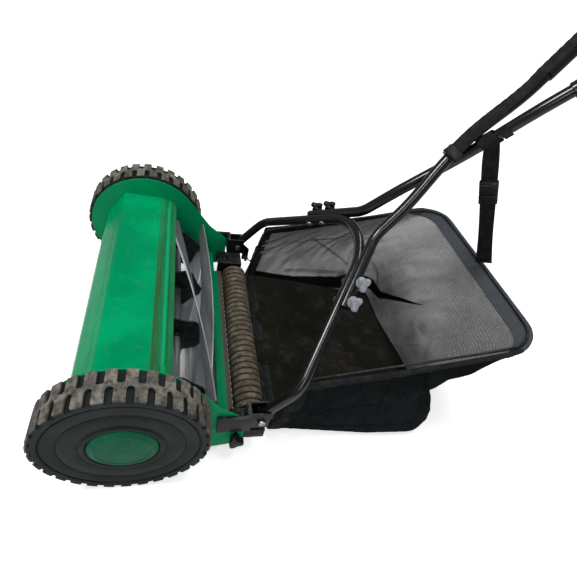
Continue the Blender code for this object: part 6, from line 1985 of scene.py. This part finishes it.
class MOWER_OT_bag_strap(bpy.types.Operator):
    """Strap from the handle to the bag's rear rim, with a side-release buckle"""
    bl_idname = "mower.bag_strap"
    bl_label = "Bag Strap"

    def execute(self, context):
        axis, top, bottom, drop = strap_line()
        wide, face, flat = strap_faces(drop)
        tube_way = right_tube_point(STRAP_STATION + 0.01) - right_tube_point(STRAP_STATION - 0.01)
        tube_way.normalize()
        radial = (flat - tube_way * flat.dot(tube_way)).normalized()
        round_way = tube_way.cross(radial)
        begin = math.atan2(drop.dot(round_way), drop.dot(radial))
        stations = []
        for i in range(33):
            turn = 2 * math.pi * i / 32
            out = radial * math.cos(begin + turn) + round_way * math.sin(begin + turn)
            slide = tube_way * (0.004 * math.cos(turn) - 0.004)
            reach = TUBE_RADIUS + 0.0017 + 0.0008 * math.sin(turn / 2)
            stations.append((axis + out * reach + slide, tube_way, out, STRAP_WIDTH))
        wrap = webbing("wrap", stations, 0.0014, 0.0)
        begin_way = tube_way if flat.dot(tube_way) > 0 else -tube_way
        stations = []
        for i in range(19):
            part = i / 18
            across = begin_way.lerp(wide, min(part * 1.6, 1.0)).normalized()
            down = -0.004 + (BUCKLE_START + 0.007) * part
            stations.append((top + drop * down + face * 0.0006 * math.sin(6 * part), across, face,
                             STRAP_WIDTH))
        upper = webbing("upper", stations, STRAP_THICKNESS, 0.0008)
        dress(joined("upper", [wrap, upper]), "strap_upper", "strap", strap_weave, "upper_webbing")

        middle = BUCKLE_START + SOCKET_LENGTH
        start = middle + FIT_GAP
        end = start + PLUG_LENGTH
        buckle_socket(middle)
        buckle_plug(middle, start, end)

        begin = end - 0.006
        total = (bottom - top).length
        stations = []
        for i in range(31):
            part = i / 30
            bow = math.sin(math.pi * part)
            swing = math.radians(14.0) * bow
            across = wide * math.cos(swing) + face * math.sin(swing)
            out = face * math.cos(swing) - wide * math.sin(swing)
            centre = top + drop * (begin + (total - begin) * part) + face * 0.0022 * bow
            stations.append((centre, across, out, STRAP_WIDTH + 0.004 * part ** 3))
        lower = webbing("lower", stations, STRAP_THICKNESS, 0.0010)
        dress(lower, "strap_lower", "strap", strap_weave, "lower_webbing")
        tail = []
        for i in range(13):
            part = i / 12
            centre = (axis + tube_way * (0.014 + 0.010 * part) + radial * (TUBE_RADIUS + 0.002)
                      + drop * (-0.004 + 0.016 * part) + X_WAY * 0.010 * part ** 1.5)
            tail.append((centre, tube_way, radial, 0.012))
        dress(webbing("tail", tail, 0.0012, 0.0), "strap_tail", "strap", strap_weave)
        return {"FINISHED"}


# Stage

CAMERA_SPOT = (0.538, -0.34682, 0.645)
CAMERA_AHEAD = (-0.7067, 0.2651, -0.6557)
CAMERA_RIGHT = (0.1685, 0.963, 0.208)


def soft_lamp(name, spot, target, size, power, size_y=None):
    """A square or oblong area lamp that points at a target."""
    deselect()
    bpy.ops.object.light_add(type="AREA", location=spot)
    lamp = bpy.context.object
    lamp.name = name
    lamp.data.shape = "RECTANGLE" if size_y else "SQUARE"
    lamp.data.size = size
    if size_y:
        lamp.data.size_y = size_y
    lamp.data.energy = power
    way = Vector(target) - Vector(spot)
    lamp.rotation_mode = "QUATERNION"
    lamp.rotation_quaternion = way.to_track_quat("-Z", "Y")
    return lamp


def seen_rays(nodes):
    """One where the camera or a clear surface looks at the backdrop."""
    rays = nodes.add("LightPath").outputs
    return nodes.math("MAXIMUM", rays["Is Camera Ray"], rays["Is Transmission Ray"])


def white_world():
    """White backdrop for the camera, and a dim cool fill for the rest."""
    world = bpy.data.worlds.new("Studio")
    bpy.context.scene.world = world
    world.use_nodes = True
    nodes = Nodes(world.node_tree)
    fill = nodes.tree.nodes["Background"]
    fill.inputs["Color"].default_value = (0.93, 0.96, 1.0, 1.0)
    fill.inputs["Strength"].default_value = 0.24
    white = nodes.add("Background", {"Color": (1.0, 1.0, 1.0), "Strength": 1.0})
    both = nodes.add("MixShader", {0: seen_rays(nodes), 1: fill.outputs[0], 2: white.outputs[0]})
    nodes.feed(nodes.tree.nodes["World Output"].inputs["Surface"], both.outputs[0])


def pale_floor(name):
    """Nearly white floor: lit for shadows, lifted to white where the camera looks, with a painted shadow
    under the reel.
    """
    look = Look(name, roughness=0.9, specular_ior_level=0.1)
    tint = look.mix(look.grain(3.0), (0.86, 0.86, 0.86), (0.88, 0.88, 0.88))
    look.feed(look.shader["Base Color"], tint)
    look.feed(look.shader["Emission Color"], (1.0, 1.0, 1.0))
    away = look.number("LENGTH", look.here)
    lifted = look.step(away, 0.9, 2.2, 0.60, 1.0)
    # Painted shadow: under the reel the lift to white falls nearly to nothing.
    below = look.zone(look.along("X"), -0.17, 0.17, 0.06)
    behind = look.zone(look.along("Y"), AXLE_Y - 0.02, AXLE_Y + 0.11, 0.06)
    lifted = look.fade(look.times(below, behind), lifted, 0.02)
    seen = look.times(seen_rays(look), lifted)
    look.feed(look.shader["Emission Strength"], seen)
    return look.made


class MOWER_OT_stage(bpy.types.Operator):
    """Pale floor, soft lamps and the camera"""
    bl_idname = "mower.stage"
    bl_label = "Stage"

    def execute(self, context):
        deselect()
        bpy.ops.mesh.primitive_grid_add(x_subdivisions=4, y_subdivisions=4, size=24.0,
                                        location=(0.0, 0.0, -0.0006))
        floor = bpy.context.object
        floor.name = "floor"
        floor.data.materials.append(finish(pale_floor))
        settle(floor)
        white_world()
        soft_lamp("key_lamp", (0.15, -1.9, 2.5), (0.0, 0.0, 0.1), 0.7, 38.0)
        soft_lamp("top_lamp", (0.25, 0.55, 2.7), (0.0, 0.1, 0.1), 0.7, 15.0)
        soft_lamp("line_lamp", (-0.9, 0.45, 2.5), (0.0, 0.1, 0.2), 0.16, 18.0, 1.8)
        soft_lamp("side_line_lamp", (1.3, -0.5, 1.5), (0.1, 0.0, 0.2), 0.14, 8.0, 1.6)
        deselect()
        bpy.ops.object.camera_add(location=CAMERA_SPOT)
        camera = bpy.context.object
        camera.name = "camera"
        forward = Vector(CAMERA_AHEAD).normalized()
        right = Vector(CAMERA_RIGHT).normalized()
        up = right.cross(forward).normalized()
        right = forward.cross(up)
        camera.rotation_mode = "QUATERNION"
        camera.rotation_quaternion = turn_to(right, up, -forward)
        camera.data.sensor_width = 36.0
        camera.data.lens = 27.0
        camera.data.clip_start = 0.01
        context.scene.camera = camera
        context.scene.view_settings.view_transform = "Standard"
        return {"FINISHED"}


# Registering and running

OPERATORS = (
    MOWER_OT_wheels, MOWER_OT_side_plates, MOWER_OT_reel_cover, MOWER_OT_bed, MOWER_OT_reel,
    MOWER_OT_roller, MOWER_OT_brackets, MOWER_OT_tubes, MOWER_OT_grips, MOWER_OT_joints,
    MOWER_OT_handle_band, MOWER_OT_bag, MOWER_OT_bag_strap, MOWER_OT_stage)


class MOWER_PT_panel(bpy.types.Panel):
    bl_idname = "MOWER_PT_panel"
    bl_label = "Reel Mower"
    bl_space_type = "VIEW_3D"
    bl_region_type = "UI"
    bl_category = "Mower"

    def draw(self, context):
        layout = self.layout
        for group in (context.scene.mower_sizes, context.scene.mower_colours):
            box = layout.box()
            for key in group.bl_rna.properties.keys():
                if key not in {"rna_type", "name"}:
                    box.prop(group, key)
        for operator in OPERATORS:
            layout.operator(operator.bl_idname)


CLASSES = (MowerColours, MowerSizes) + OPERATORS + (MOWER_PT_panel,)
EFFECT_BUILDERS = (build_mottle, build_scratches, build_weave, build_crease, build_zone,
                   build_settled_dust)


def register():
    for kind in CLASSES:
        bpy.utils.register_class(kind)
    bpy.types.Scene.mower_colours = bpy.props.PointerProperty(type=MowerColours)
    bpy.types.Scene.mower_sizes = bpy.props.PointerProperty(type=MowerSizes)


def unregister():
    del bpy.types.Scene.mower_sizes
    del bpy.types.Scene.mower_colours
    for kind in reversed(CLASSES):
        bpy.utils.unregister_class(kind)


def main():
    """Build every piece and the stage."""
    register()
    for build in EFFECT_BUILDERS:
        build()
    for operator in OPERATORS:
        group, name = operator.bl_idname.split(".")
        getattr(getattr(bpy.ops, group), name)()


if __name__ == "__main__":
    main()
